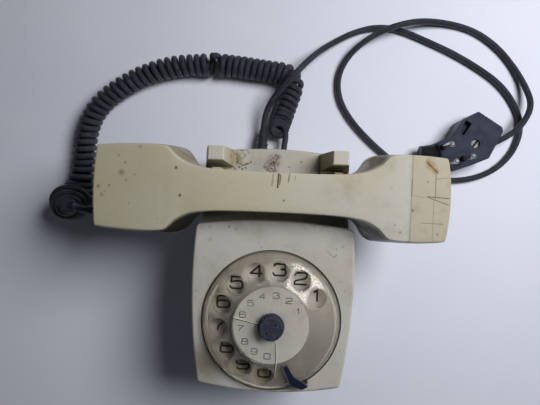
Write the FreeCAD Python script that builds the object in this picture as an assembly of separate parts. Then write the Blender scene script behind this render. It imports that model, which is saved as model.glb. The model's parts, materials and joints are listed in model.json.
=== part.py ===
"""Rotary wall telephone: housing, dial, ringer, cradle, handset, cords and plug.

The phone lies on its back. X runs across it, Y towards the top of the phone as it hangs on
a wall, and Z out of the wall. Sizes are millimetres. Everything is drawn about the
housing's centre line, and save() moves it so that the origin is the middle of the back.
"""
import FreeCAD, Part
import math
import os

V = FreeCAD.Vector
Z_AXIS = V(0, 0, 1)

# Housing
BODY_BOTTOM_Y = -78.0
BODY_TOP_Y = 78.0
FACE_TOP_Y = 30.0
FACE_Z = 76.0
DECK_Z = 55.0
WALL = 2.5
PAD_T = 1.5
BASE_T = 3.0
BASE_TOP = PAD_T + BASE_T
SEAM = 0.3
KEYHOLE_SPACING = 60.0
KEYHOLE_Y = 40.0
KEYHOLE_HEAD_R = 4.5
KEYHOLE_SLOT_R = 2.2
WALL_SCREW_X = 43.0
WALL_SCREW_Y = -30.0
WALL_SCREW_R = 2.2
BOSS_R = 4.0
BOSS_PLACES = [(-40, -66), (40, -66), (-24, 71.5), (24, 71.5)]

# Dial
DIAL_Y = -32.4
WELL_R = 44.2
WHEEL_R = 42.8
WHEEL_RIM_R = 40.8
WHEEL_TOP_Z = 87.0
WHEEL_RIM_Z = 81.0
WHEEL_FOOT_Z = 77.4
WHEEL_T = 1.8
HOLE_R = 5.9
HOLE_PITCH_R = 32.2
HOLE_FIRST_DEG = 31.0
HOLE_STEP_DEG = 26.0
LABEL_R = 22.8
WINDOW_R = 23.8
SHAFT_R = 3.0
RUN_GAP = 0.05
STOP_DEG = -60.0
STOP_LEG_R = 44.4
STOP_BLADE = [
    (7.9, -56.4),
    (10.6, -55.0),
    (15.3, -63.4),
    (20.4, -67.0),
    (24.7, -70.6),
    (20.7, -72.9),
    (13.2, -70.0),
]
GEAR_TEETH = 40
PINION_TEETH = 8
MODULE = 1.0
GEAR_Z = 52.0
GEAR_T = 2.5
GOVERNOR_DEG = 90.0

# Handset, lying across the housing
HANDSET_Y = 47.5
HANDSET_LEFT = -111.3
HANDSET_RIGHT = 104.7
NECK_HALF = 11.6
CAP_HALF = 28.8
BACK_Z = 96.0
NECK_UNDER_Z = 72.5
CAP_TOP_Z = 56.0
CAP_LOW_Z = 42.0

# Cradle
SLOT_Y0 = 36.6
SLOT_Y1 = 72.0
POST_TOP_Z = 80.0
SADDLE_Z = NECK_UNDER_Z - 0.2

# Cords
LINE_X = -12.0
CURLY_X = 5.0
GLAND_Z = 10.0
LINE_D = 4.6
CURLY_D = 4.8
COIL_D = 17.0
ARC_SHARE = 0.45

ORIGIN_SHIFT = V(-(HANDSET_LEFT + HANDSET_RIGHT) / 2, 0, 0)


# ---------------------------------------------------------------- plain shapes
def cylinder(radius, z0, z1, x=0.0, y=0.0):
    return Part.makeCylinder(radius, z1 - z0, V(x, y, z0), Z_AXIS)


def ring(outer, inner, z0, z1, x=0.0, y=0.0):
    return cylinder(outer, z0, z1, x, y).cut(cylinder(inner, z0 - 1, z1 + 1, x, y))


def cone(r0, r1, z0, z1, x=0.0, y=0.0):
    return Part.makeCone(r0, r1, z1 - z0, V(x, y, z0), Z_AXIS)


def rod(radius, start, end):
    """A round rod between two points."""
    a, b = V(*start), V(*end)
    return Part.makeCylinder(radius, (b - a).Length, a, b - a)


def taper(r0, r1, start, end):
    a, b = V(*start), V(*end)
    return Part.makeCone(r0, r1, (b - a).Length, a, b - a)


def box(x0, x1, y0, y1, z0, z1):
    return Part.makeBox(x1 - x0, y1 - y0, z1 - z0, V(x0, y0, z0))


def prism(face, height):
    return face.extrude(V(0, 0, height))


def polygon(points, z0, z1):
    corners = [V(x, y, z0) for x, y in points]
    wire = Part.makePolygon(corners + corners[:1])
    return prism(Part.Face(wire), z1 - z0)


def rounded_plate(x0, x1, y0, y1, z0, z1, radius):
    block = box(x0, x1, y0, y1, z0, z1)
    uprights = [e for e in block.Edges if abs(e.tangentAt(e.FirstParameter).z) > 0.9]
    return block.makeFillet(radius, uprights)


def join(solids):
    """Solids that overlap become one; solids that stand apart stay a group."""
    first, rest = solids[0], solids[1:]
    whole = first.fuse(rest) if rest else first
    return whole.removeSplitter()


def group(solids):
    return Part.makeCompound(solids)


def soften(solid, radius, wanted):
    """Rounds the edges that the test picks."""
    edges = [e for e in solid.Edges if wanted(e)]
    return solid.makeFillet(radius, edges)


def at_height(edge, z, slack=0.02):
    bounds = edge.BoundBox
    return abs(bounds.ZMin - z) < slack and abs(bounds.ZMax - z) < slack


def polar(radius, degrees, cx=0.0, cy=DIAL_Y):
    angle = math.radians(degrees)
    return cx + radius * math.cos(angle), cy + radius * math.sin(angle)


def save(name, shape):
    moved = shape.copy()
    moved.translate(ORIGIN_SHIFT)
    moved.exportStep("parts/%s.step" % name)
    print("%-24s solids %2d  volume %9.1f" % (name, len(moved.Solids), moved.Volume))


# ---------------------------------------------------------------- housing
def body_wire(z, inset=0.0):
    """The housing's plan: every side bows gently outward."""
    low = V(45.0, -73.4, z)
    high = V(48.9, 36.0, z)
    rear = V(48.6, 74.0, z)

    def left(point):
        return V(-point.x, point.y, point.z)

    edges = [
        Part.Arc(left(low), V(0, BODY_BOTTOM_Y, z), low).toShape(),
        Part.Arc(low, V(50.8, -25.0, z), high).toShape(),
        Part.makeLine(high, rear),
        Part.Arc(rear, V(0, BODY_TOP_Y, z), left(rear)).toShape(),
        Part.makeLine(left(rear), left(high)),
        Part.Arc(left(high), V(-50.8, -25.0, z), left(low)).toShape(),
    ]
    wire = Part.Wire(edges)
    if inset:
        wire = wire.makeOffset2D(-inset)
    return wire


def body_block(z0, z1, inset=0.0):
    return prism(Part.Face(body_wire(z0, inset)), z1 - z0)


def face_front(z0, z1, inset=0.0):
    """Everything below the bowed top edge of the dial face."""
    corner = V(60.0, 24.6 - inset, z0)
    middle = V(0, FACE_TOP_Y - inset, z0)
    far = V(-60.0, 24.6 - inset, z0)
    top = Part.Arc(corner, middle, far).toShape()
    low_left, low_right = V(-60, -100, z0), V(60, -100, z0)
    sides = [Part.makeLine(far, low_left), Part.makeLine(low_left, low_right)]
    wire = Part.Wire([top] + sides + [Part.makeLine(low_right, corner)])
    return prism(Part.Face(wire), z1 - z0)


def upright_corner(edge):
    """The upright edges at the corners of the housing and of its raised face."""
    bounds = edge.BoundBox
    tall = bounds.ZMax - bounds.ZMin > 15
    narrow = bounds.XMax - bounds.XMin < 0.1 and bounds.YMax - bounds.YMin < 0.1
    shoulder = abs(bounds.YMin - 36.0) < 1.5
    return tall and narrow and not shoulder


def housing_outer():
    whole = body_block(BASE_TOP + SEAM, DECK_Z)
    face = body_block(DECK_Z - 1, FACE_Z).common(face_front(DECK_Z - 1, FACE_Z))
    whole = join([whole, face])
    whole = soften(whole, 3.0, upright_corner)
    whole = soften(whole, 1.8, lambda e: at_height(e, FACE_Z))
    return soften(whole, 1.4, lambda e: at_height(e, DECK_Z) and e.BoundBox.YMax > 60)


def housing_inner():
    low = body_block(BASE_TOP, DECK_Z - WALL, WALL)
    high = body_block(DECK_Z - WALL - 1, FACE_Z - WALL, WALL)
    high = high.common(face_front(DECK_Z - WALL - 1, FACE_Z - WALL, WALL))
    return join([low, high])


def cradle_slot(side):
    x0, x1 = sorted((side * 28.6, side * 45.6))
    return box(x0, x1, SLOT_Y0, SLOT_Y1, DECK_Z - 6, DECK_Z + 1)


def make_housing():
    shell = housing_outer().cut(housing_inner())
    shell = shell.cut(cylinder(WELL_R, FRAME_FLOOR_Z - SEAM, FACE_Z + 1, 0, DIAL_Y))
    for side in (-1, 1):
        shell = shell.cut(cradle_slot(side))
    shell = shell.cut(rod(4.2, (LINE_X, 70, GLAND_Z), (LINE_X, 85, GLAND_Z)))
    shell = shell.cut(rod(4.2, (CURLY_X, 70, GLAND_Z), (CURLY_X, 85, GLAND_Z)))
    bosses = []
    for x, y in BOSS_PLACES:
        top = FACE_Z - WALL + 0.5 if y < 0 else DECK_Z - WALL + 0.5
        bosses.append(ring(BOSS_R, 1.3, BASE_TOP + SEAM, top, x, y))
    return join([shell] + bosses)


def keyhole(x):
    head = cylinder(KEYHOLE_HEAD_R, 0, BASE_TOP + 1, x, KEYHOLE_Y - 8)
    slot = cylinder(KEYHOLE_SLOT_R, 0, BASE_TOP + 1, x, KEYHOLE_Y)
    way = box(x - KEYHOLE_SLOT_R, x + KEYHOLE_SLOT_R, KEYHOLE_Y - 8, KEYHOLE_Y, 0, BASE_TOP + 1)
    return join([head, slot, way])


def make_base():
    plate = body_block(PAD_T, BASE_TOP, 0.6)
    for side in (-1, 1):
        plate = plate.cut(keyhole(side * KEYHOLE_SPACING / 2))
        plate = plate.cut(cylinder(WALL_SCREW_R, 0, 9, side * WALL_SCREW_X, WALL_SCREW_Y))
    for x, y in BOSS_PLACES:
        plate = plate.cut(cylinder(1.7, 0, BASE_TOP + 1, x, y))
        plate = plate.cut(cone(3.4, 1.7, PAD_T, PAD_T + 1.7, x, y))
    rib = body_block(BASE_TOP - 0.5, BASE_TOP + 4, WALL + 0.4)
    rib = rib.cut(body_block(BASE_TOP - 1, BASE_TOP + 5, WALL + 2.2))
    for x, y in BOSS_PLACES:
        rib = rib.cut(cylinder(BOSS_R + 0.4, 0, 20, x, y))
    for x in (LINE_X, CURLY_X):
        rib = rib.cut(box(x - 5, x + 5, 60, 90, BASE_TOP, 20))
    posts = [ring(3.2, 1.2, BASE_TOP - 0.5, BOARD_Z, x, y) for x, y in BOARD_SCREWS]
    return join([plate, rib] + posts)


def make_pads():
    places = [(-34, -66), (34, -66), (-34, 64), (34, 64)]
    return group([cylinder(6.5, 0, PAD_T, x, y) for x, y in places])


def screw(x, y, z_head, length, head_r, shank_r, up=True):
    """A slotted screw whose shank runs up (or down) from its head."""
    sign = 1 if up else -1
    head = Part.makeCylinder(head_r, 1.5, V(x, y, z_head), V(0, 0, sign))
    shank = Part.makeCylinder(shank_r, length, V(x, y, z_head + sign * 1.4), V(0, 0, sign))
    low = z_head - 0.1 if up else z_head - 0.6
    slot = box(x - head_r, x + head_r, y - 0.35, y + 0.35, low, low + 0.7)
    return join([head, shank]).cut(slot)


def make_cover_screws():
    screws = []
    for x, y in BOSS_PLACES:
        head = cone(3.2, 1.5, PAD_T + 0.1, PAD_T + 1.7, x, y)
        shank = cylinder(1.3, PAD_T + 1.5, 18, x, y)
        slot = box(x - 3, x + 3, y - 0.35, y + 0.35, PAD_T, PAD_T + 0.7)
        screws.append(join([head, shank]).cut(slot))
    return group(screws)


# ---------------------------------------------------------------- dial
def dial_cylinder(radius, z0, z1):
    return cylinder(radius, z0, z1, 0, DIAL_Y)


def dial_ring(outer, inner, z0, z1):
    return ring(outer, inner, z0, z1, 0, DIAL_Y)


PLATE_Z = 75.0
FRAME_FLOOR_Z = 60.0
BEARING_R = 5.5


def make_dial_cup():
    """The moulded cup that fills the housing's well and carries the dial."""
    cup = dial_cylinder(WELL_R - 0.4, FRAME_FLOOR_Z, PLATE_Z)
    cup = cup.cut(dial_cylinder(WELL_R - 3.0, FRAME_FLOOR_Z - 1, PLATE_Z - 2))
    cup = cup.cut(dial_cylinder(BEARING_R, PLATE_Z - 4, PLATE_Z + 1))
    for degrees in (30, 150, 210, 330):
        x, y = polar(38.5, degrees)
        cup = join([cup, ring(3.0, 1.1, FRAME_FLOOR_Z, PLATE_Z - 1.5, x, y)])
    return cup


def make_number_plate():
    return dial_ring(WELL_R - 1.6, BEARING_R + 0.3, PLATE_Z, PLATE_Z + 1.2)


def make_frame_plate():
    """Steel plate under the cup: it holds the bearing's foot and the governor."""
    plate = dial_cylinder(41.5, FRAME_FLOOR_Z - 1.6, FRAME_FLOOR_Z)
    plate = plate.cut(dial_cylinder(BEARING_R, 50, 70))
    for degrees in (30, 150, 210, 330):
        x, y = polar(38.5, degrees)
        plate = plate.cut(cylinder(1.6, 50, 70, x, y))
    gx, gy = polar(GOVERNOR_ARM, GOVERNOR_DEG)
    return plate.cut(cylinder(1.2 + RUN_GAP, 50, 70, gx, gy))


def make_frame_screws():
    screws = []
    for degrees in (30, 150, 210, 330):
        x, y = polar(38.5, degrees)
        screws.append(screw(x, y, FRAME_FLOOR_Z - 3.1, 8, 2.6, 1.1))
    return group(screws)


def make_bearing():
    tube = dial_ring(BEARING_R, SHAFT_R + RUN_GAP, FRAME_FLOOR_Z - 3.0, PLATE_Z + 2.0)
    flange = dial_ring(8.0, SHAFT_R + RUN_GAP, FRAME_FLOOR_Z - 3.0, FRAME_FLOOR_Z - 1.6)
    return join([tube, flange])


def make_shaft():
    """Turned shaft with a collar, on which the finger wheel sits and is screwed down."""
    shaft = dial_cylinder(SHAFT_R, GEAR_Z - 2.0, WHEEL_TOP_Z + 4.2)
    collar = dial_cylinder(6.5, PLATE_Z + 2.3, WHEEL_TOP_Z - WHEEL_T)
    return join([shaft, collar]).cut(dial_cylinder(1.25, 84, 93))


def turned(profile):
    """A solid turned about the dial's axis from points of radius and height."""
    corners = [V(radius, DIAL_Y, z) for radius, z in profile]
    face = Part.Face(Part.makePolygon(corners + corners[:1]))
    return face.revolve(V(0, DIAL_Y, 0), Z_AXIS, 360)


def dish_z(radius):
    """Height of the finger wheel's sloping top at a radius."""
    fall = (WHEEL_TOP_Z - WHEEL_RIM_Z) / (WHEEL_RIM_R - WINDOW_R)
    return WHEEL_TOP_Z - max(0.0, radius - WINDOW_R) * fall


def make_finger_wheel():
    """Clear moulding: a dished top with ten collared finger holes and a short skirt."""
    foot, top, thin = WHEEL_FOOT_Z, WHEEL_TOP_Z, WHEEL_T
    outer = turned([(0, foot), (WHEEL_R, foot), (WHEEL_RIM_R, WHEEL_RIM_Z), (WINDOW_R, top), (0, top)])
    inner = turned([
        (0, foot - 1),
        (WHEEL_R - thin + 0.5, foot - 1),
        (WHEEL_RIM_R - thin, WHEEL_RIM_Z - thin),
        (WINDOW_R, top - thin),
        (0, top - thin),
    ])
    wheel = outer.cut(inner)
    for number in range(10):
        x, y = polar(HOLE_PITCH_R, HOLE_FIRST_DEG + number * HOLE_STEP_DEG)
        collar = ring(HOLE_R + 1.1, HOLE_R, dish_z(HOLE_PITCH_R) - 3.6, top, x, y)
        wheel = wheel.fuse(collar.common(outer))
        wheel = wheel.cut(cylinder(HOLE_R, 70, 90, x, y))
    wheel = wheel.cut(dial_cylinder(SHAFT_R, 70, 90))
    seat = dial_cylinder(LABEL_R + 0.3, top - 0.6, top + 1)
    return wheel.cut(seat).removeSplitter()


def make_label_disc():
    return dial_ring(LABEL_R, SHAFT_R, WHEEL_TOP_Z - 0.6, WHEEL_TOP_Z + 0.6)


def make_label_window():
    """The clear cover over the paper number disc."""
    window = dial_ring(WINDOW_R, SHAFT_R, WHEEL_TOP_Z + 0.6, WHEEL_TOP_Z + 2.2)
    return soften(window, 0.7, lambda e: at_height(e, WHEEL_TOP_Z + 2.2) and e.Length > 60)


def make_hub_ring():
    low = WHEEL_TOP_Z + 2.2
    return dial_ring(8.0, SHAFT_R, low, low + 1.6)


def make_hub_cap():
    low = WHEEL_TOP_Z + 3.8
    cap = dial_cylinder(7.1, low, low + 4.8)
    cap = soften(cap, 0.7, lambda e: at_height(e, low + 4.8))
    cap = join([cap, dial_cylinder(1.2, low - 5.0, low + 1)])
    cap = cap.cut(dial_ring(SHAFT_R + 0.05, 1.2, low - 6.0, low + 0.8))
    for degrees in (45, 225):
        x, y = polar(3.6, degrees)
        cap = cap.cut(cylinder(0.75, low + 2.6, low + 6, x, y))
    return cap


def stop_strip(start, end, half, z0, z1):
    """Upright-sided bar along a line in plan."""
    along = V(end[0] - start[0], end[1] - start[1], 0).normalize()
    nx, ny = -along.y * half, along.x * half
    corners = [
        (start[0] + nx, start[1] + ny),
        (end[0] + nx, end[1] + ny),
        (end[0] - nx, end[1] - ny),
        (start[0] - nx, start[1] - ny),
    ]
    return polygon(corners, z0, z1)


def make_finger_stop():
    """Blade that lies over the wheel's slope, widens to a hooked foot, and a leg down into the cup."""
    gap, thick, reach = 1.0, 1.6, 48.0
    blade = polygon(STOP_BLADE, WHEEL_FOOT_Z, WHEEL_TOP_Z + 4)
    lowest, highest = dish_z(WINDOW_R - 4) + gap, dish_z(reach) + gap
    over = turned([
        (WINDOW_R - 4, lowest),
        (WINDOW_R, lowest),
        (reach, highest),
        (reach, highest + thick),
        (WINDOW_R, lowest + thick),
        (WINDOW_R - 4, lowest + thick),
    ])
    inner, outer = polar(STOP_LEG_R - 1.0, STOP_DEG), polar(STOP_LEG_R + 1.0, STOP_DEG)
    leg = stop_strip(inner, outer, 2.3, FRAME_FLOOR_Z + 6, dish_z(STOP_LEG_R) + gap + thick / 2)
    return join([blade.common(over), leg])


def stop_slot():
    """Room for the finger stop's leg where it passes the cup and the housing."""
    x, y = polar(STOP_LEG_R, STOP_DEG)
    block = box(-1.35, 1.35, -2.6, 2.6, FRAME_FLOOR_Z + 5.7, WHEEL_TOP_Z - 3)
    block.rotate(V(0, 0, 0), Z_AXIS, STOP_DEG)
    block.translate(V(x, y, 0))
    return block


def toothed(teeth, z0, thick, cx, cy, bore, phase=0.0, web=None):
    """A gear with plain tapered teeth."""
    pitch_r = MODULE * teeth / 2.0
    root_r = pitch_r - 1.15 * MODULE
    tip_r = pitch_r + 0.8 * MODULE
    step = 2 * math.pi / teeth
    points = []
    for number in range(teeth):
        middle = number * step + math.radians(phase)
        for radius, half in ((root_r, 0.30), (pitch_r, 0.20), (tip_r, 0.09)):
            points.append((radius, middle - half * step))
        for radius, half in ((tip_r, 0.09), (pitch_r, 0.20), (root_r, 0.30)):
            points.append((radius, middle + half * step))
    corners = [(cx + r * math.cos(a), cy + r * math.sin(a)) for r, a in points]
    gear = polygon(corners, z0, z0 + thick).cut(cylinder(bore, z0 - 1, z0 + thick + 1, cx, cy))
    if web:
        for number in range(5):
            angle = math.radians(72 * number)
            x, y = cx + web * math.cos(angle), cy + web * math.sin(angle)
            gear = gear.cut(cylinder(4.0, z0 - 1, z0 + thick + 1, x, y))
    return gear


MESH_GAP = 0.25
GOVERNOR_ARM = MODULE * (GEAR_TEETH + PINION_TEETH) / 2.0 + MESH_GAP


def make_main_gear():
    phase = GOVERNOR_DEG
    return toothed(GEAR_TEETH, GEAR_Z, GEAR_T, 0, DIAL_Y, SHAFT_R, phase, web=11.5)


def make_pulse_cam():
    """Disc with ten dips round part of its edge, one for each pulse."""
    cam = dial_ring(12.0, SHAFT_R, GEAR_Z - 1.6, GEAR_Z - 0.2)
    for number in range(10):
        x, y = polar(12.4, 200 + 16 * number)
        cam = cam.cut(cylinder(1.2, GEAR_Z - 3, GEAR_Z, x, y))
    return cam


def make_main_spring():
    """Flat steel strip wound in a spiral between the gear and the frame plate."""
    turns, thick, inner_r, pitch = 5, 0.5, 4.4, 1.7
    steps = 24 * turns
    inside, outside = [], []
    for step in range(steps + 1):
        angle = 2 * math.pi * turns * step / steps
        radius = inner_r + pitch * turns * step / steps
        inside.append((radius * math.cos(angle), DIAL_Y + radius * math.sin(angle)))
        radius += thick
        outside.append((radius * math.cos(angle), DIAL_Y + radius * math.sin(angle)))
    return polygon(inside + outside[::-1], GEAR_Z + GEAR_T + 0.4, FRAME_FLOOR_Z - 3.4)


def make_governor_pinion():
    x, y = polar(GOVERNOR_ARM, GOVERNOR_DEG)
    phase = GOVERNOR_DEG + 180 + 180.0 / PINION_TEETH
    pinion = toothed(PINION_TEETH, GEAR_Z, GEAR_T, x, y, 0.0001, phase)
    axle = cylinder(1.2, GEAR_Z - 9.5, FRAME_FLOOR_Z - 0.1, x, y)
    return join([pinion, axle])


def make_governor_weights():
    """A crossbar with two weights that swing out and rub on the governor's cup."""
    x, y = polar(GOVERNOR_ARM, GOVERNOR_DEG)
    hub = cylinder(2.4, GEAR_Z - 8.5, GEAR_Z - 2.5, x, y)
    bar = box(x - 6.0, x + 6.0, y - 1.2, y + 1.2, GEAR_Z - 7.0, GEAR_Z - 5.6)
    weights = [cylinder(1.8, GEAR_Z - 8.5, GEAR_Z - 4.0, x + side * 5.4, y) for side in (-1, 1)]
    return join([hub, bar] + weights).cut(cylinder(1.2, 30, 70, x, y))


def make_governor_cup():
    x, y = polar(GOVERNOR_ARM, GOVERNOR_DEG)
    cup = ring(9.6, 8.2, GEAR_Z - 9.6, GEAR_Z - 3.0, x, y)
    floor = ring(9.6, 1.2 + RUN_GAP, GEAR_Z - 10.8, GEAR_Z - 9.5, x, y)
    arm = box(x - 3, x + 3, y + 8.6, y + 12.5, GEAR_Z - 10.8, FRAME_FLOOR_Z - 1.6)
    return join([cup, floor, arm])


def make_pulse_contacts():
    """Two spring leaves on an insulating block beside the pulse cam."""
    y = DIAL_Y
    block = box(-30, -22, y - 12, y - 4, GEAR_Z - 6.5, FRAME_FLOOR_Z - 1.6)
    leaves = [
        box(-22.4, -13.2, y - 8.5 - k * 2.4, y - 8.0 - k * 2.4, GEAR_Z - 5.6, GEAR_Z - 2.4)
        for k in (0, 1)
    ]
    return join([block] + leaves)


# ---------------------------------------------------------------- ringer and board
BOARD_Z = 9.0
BOARD_SCREWS = [(-36, -50), (36, -50), (-36, 2), (36, 2)]
PIVOT_Y = 30.5
COIL_Z = 17.0
GONG_R = 18.0
GONG_X = 21.5
GONG_Y = 44.0
GONG_Z = 32.0
CLAPPER_R = 3.0


def make_board():
    board = rounded_plate(-41, 41, -58, 8, BOARD_Z, BOARD_Z + 1.6, 3)
    for x, y in BOARD_SCREWS:
        board = board.cut(cylinder(1.6, 0, 20, x, y))
    return board


def make_board_screws():
    return group([screw(x, y, BOARD_Z + 3.1, 6.1, 2.8, 1.2, up=False) for x, y in BOARD_SCREWS])


def make_transformer():
    low = BOARD_Z + 1.6
    core = box(-34, -12, -44, -22, low, low + 17)
    window = box(-29.5, -16.5, -45, -21, low + 4, low + 13)
    coil = rounded_plate(-32, -14, -40, -26, low + 2.5, low + 14.5, 2)
    return join([core.cut(window), coil])


def make_capacitor():
    low = BOARD_Z + 1.6
    can = rod(7.5, (-1, -48, low + 7.5), (30, -48, low + 7.5))
    return soften(can, 1.0, lambda e: e.Length > 40)


def make_terminal_block():
    low = BOARD_Z + 1.6
    block = rounded_plate(-30, 30, -8, 2.5, low, low + 8, 1)
    for number in range(6):
        x = -25 + 10 * number
        block = block.cut(cylinder(2.6, low + 4, low + 9, x, -2.7))
    return block


def make_terminal_screws():
    low = BOARD_Z + 1.6
    places = [(-25 + 10 * number, -2.7) for number in range(6)]
    return group([screw(x, y, low + 6.4, 1.0, 2.3, 1.2, up=False) for x, y in places])


def make_ringer_frame():
    """Folded steel bracket: a floor, a yoke for the coils, the pivot and two gong posts."""
    floor = box(-30, 30, 10, 52, BASE_TOP, BASE_TOP + 1.6)
    yoke = box(-20, 20, 10, 11.6, BASE_TOP, 27)
    pivot = cylinder(1.5, BASE_TOP, 30, 0, PIVOT_Y)
    frame = join([floor, yoke, pivot])
    for side in (-1, 1):
        x = side * GONG_X
        post = join([cylinder(3.0, BASE_TOP, GONG_Z, x, GONG_Y), cylinder(2.0, 30, GONG_Z + 3.6, x, GONG_Y)])
        frame = join([frame, post.cut(cylinder(1.0, GONG_Z - 6, GONG_Z + 9, x, GONG_Y))])
    return frame


def make_coils():
    coils = []
    for side in (-1, 1):
        x = side * 10.0
        coils.append(rod(7.2, (x, 12.8, COIL_Z), (x, 24.0, COIL_Z)))
        coils.append(rod(8.6, (x, 11.6, COIL_Z), (x, 12.9, COIL_Z)))
        coils.append(rod(8.6, (x, 23.9, COIL_Z), (x, 25.0, COIL_Z)))
        coils.append(rod(2.8, (x, 11.6, COIL_Z), (x, 25.8, COIL_Z)))
    return group([join(coils[0:4]), join(coils[4:8])])


def make_clapper():
    """Armature bar, arm and ball, turning about the ringer's pivot."""
    ball_z = GONG_Z - 4.0
    hub = ring(3.0, 1.5 + RUN_GAP, COIL_Z - 3, ball_z + 1, 0, PIVOT_Y)
    bar = box(-14, 14, 27.0, 28.4, COIL_Z - 4, COIL_Z + 4)
    arm = box(-0.7, 0.7, PIVOT_Y + 2.5, GONG_Y, ball_z - 0.7, ball_z + 0.7)
    ball = Part.makeSphere(CLAPPER_R, V(0, GONG_Y, ball_z))
    return join([hub, bar, arm, ball])


def make_gong(side):
    x = side * GONG_X
    outer = cone(GONG_R, GONG_R - 5.0, GONG_Z - 6, GONG_Z + 5, x, GONG_Y)
    inner = cone(GONG_R - 1.3, GONG_R - 6.3, GONG_Z - 7.3, GONG_Z + 3.7, x, GONG_Y)
    cup = outer.cut(inner)
    cup = soften(cup, 2.5, lambda e: at_height(e, GONG_Z + 5))
    return cup.cut(cylinder(1.1, 0, 60, x, GONG_Y))


def make_gong_screws():
    z = GONG_Z + 6.6
    return group([screw(side * GONG_X, GONG_Y, z, 9.0, 3.0, 0.9, up=False) for side in (-1, 1)])


# ---------------------------------------------------------------- cradle
def make_cradle_arm(side):
    """Neck saddle and wedge-shaped horn in one moulding, on a foot inside the housing."""

    def flip(points):
        return [V(side * x, 0, z) for x, z in points]

    def slab(points, y0, y1):
        corners = [V(p.x, y0, p.z) for p in flip(points)]
        return Part.Face(Part.makePolygon(corners + corners[:1])).extrude(V(0, y1 - y0, 0))

    z_deck = DECK_Z + SEAM
    horn = slab([(28.4, z_deck), (34.0, POST_TOP_Z), (44.0, POST_TOP_Z), (48.4, z_deck)], 64, 75.4)
    cutter = [V(0, 50, z_deck), V(0, 64.0, z_deck), V(0, 66.6, POST_TOP_Z), V(0, 50, POST_TOP_Z)]
    face = Part.Face(Part.makePolygon(cutter + cutter[:1]))
    face.translate(V(-60, 0, 0))
    horn = horn.cut(face.extrude(V(120, 0, 0)))
    saddle = slab([(35.0, z_deck), (36.5, SADDLE_Z), (41.4, SADDLE_Z), (44.0, z_deck)], 37, 62.5)
    plate = slab([(29.0, z_deck), (29.0, z_deck + 2.5), (45.2, z_deck + 2.5), (45.2, z_deck)], 37, 70)
    foot = [(29.2, 44), (29.2, z_deck + 0.5), (45.0, z_deck + 0.5), (45.0, 44)]
    stem = slab(foot, SLOT_Y0 + 0.6, SLOT_Y1 - 0.6)
    arm = join([horn, saddle, plate, stem])
    return soften(arm, 1.2, lambda e: at_height(e, POST_TOP_Z))


YOKE_Z0 = 40.0
YOKE_Z1 = 44.0
GUIDE_X = 10.0
GUIDE_Y = 63.8
GUIDE_R = 2.0


def make_cradle_yoke():
    """Steel bar that joins the two arms and slides on the guide pins."""
    bar = box(-44, 44, 60.5, 67.0, YOKE_Z0, YOKE_Z1)
    for side in (-1, 1):
        bar = bar.cut(cylinder(GUIDE_R + RUN_GAP, 30, 60, side * GUIDE_X, GUIDE_Y))
    return bar


def make_cradle_guides():
    return group([cylinder(GUIDE_R, BASE_TOP, 51.5, s * GUIDE_X, GUIDE_Y) for s in (-1, 1)])


def make_cradle_springs():
    """Springs round the guide pins, under the yoke: flat turns, linked on alternate sides."""
    turns, pitch, low = 10, 3.4, BASE_TOP + 0.4
    springs = []
    for side in (-1, 1):
        x = side * GUIDE_X
        parts = [ring(3.7, 2.7, low + pitch * k, low + pitch * k + 0.9, x, GUIDE_Y) for k in range(turns)]
        for k in range(turns - 1):
            reach = 3.2 if k % 2 else -3.2
            z = low + pitch * k
            link = box(-0.4, 0.4, -0.6, 0.6, z, z + pitch + 0.5)
            link.translate(V(x + reach, GUIDE_Y, 0))
            parts.append(link)
        springs.append(join(parts))
    return group(springs)


def make_hook_switch():
    """Insulated stack of contact leaves that the yoke presses."""
    block = box(-6, 6, 55, 59, BASE_TOP, 37.5)
    leaves = [box(-5 + 4 * k, -3 + 4 * k, 58.5, 66.0, 32 + 1.2 * k, 32.4 + 1.2 * k) for k in range(3)]
    button = box(-2, 2, 61.5, 65.5, 33.0, 39.7)
    return join([block, button] + leaves)


# ---------------------------------------------------------------- handset
# Sections from the middle to an end: distance along the handset, half-width at the back,
# half-width at the caps, height of the back, height of the underside.
HEAD_SECTIONS = [
    (36.0, 12.4, 12.4, 95.2, 72.5),
    (45.0, 13.2, 13.8, 94.6, 72.3),
    (51.0, 14.2, 17.6, 94.2, 67.0),
    (56.0, 16.0, 22.4, 93.7, 56.0),
    (61.0, 19.0, 26.8, 93.2, 51.0),
    (65.0, 23.0, 28.8, 92.7, 50.0),
    (69.0, 25.0, 29.6, 92.3, 50.0),
    (76.0, 25.9, 29.8, 91.6, 50.0),
    (90.0, 25.6, 29.6, 90.2, 50.0),
    (98.0, 25.0, 29.2, 89.2, 50.0),
    (102.0, 24.2, 28.4, 88.6, 50.0),
    (104.2, 22.8, 26.8, 87.4, 50.0),
]
STRETCH_FROM = 76.0


def section_wire(x, top_half, low_half, top_z, low_z):
    """Cross-section of the handset: a flat-backed trapezium with round corners."""
    top_r, low_r = 2.2, 3.0

    def at(y, z):
        return V(x, HANDSET_Y + y, z)

    slope = V(0, low_half - top_half, low_z - top_z)
    side = slope.normalize()
    corner_top, corner_low = at(top_half, top_z), at(low_half, low_z)
    a = at(top_half - top_r, top_z)
    b = corner_top + side * top_r
    c = corner_low - side * low_r
    d = at(low_half - low_r, low_z)

    def bend(first, corner, last):
        middle = first * 0.25 + corner * 0.5 + last * 0.25
        return Part.Arc(first, middle, last).toShape()

    def flip(point):
        return V(point.x, 2 * HANDSET_Y - point.y, point.z)

    return Part.Wire([
        Part.makeLine(flip(a), a),
        bend(a, corner_top, b),
        Part.makeLine(b, c),
        bend(c, corner_low, d),
        Part.makeLine(d, flip(d)),
        bend(flip(d), flip(corner_low), flip(c)),
        Part.makeLine(flip(c), flip(b)),
        bend(flip(b), flip(corner_top), flip(a)),
    ])


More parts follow.
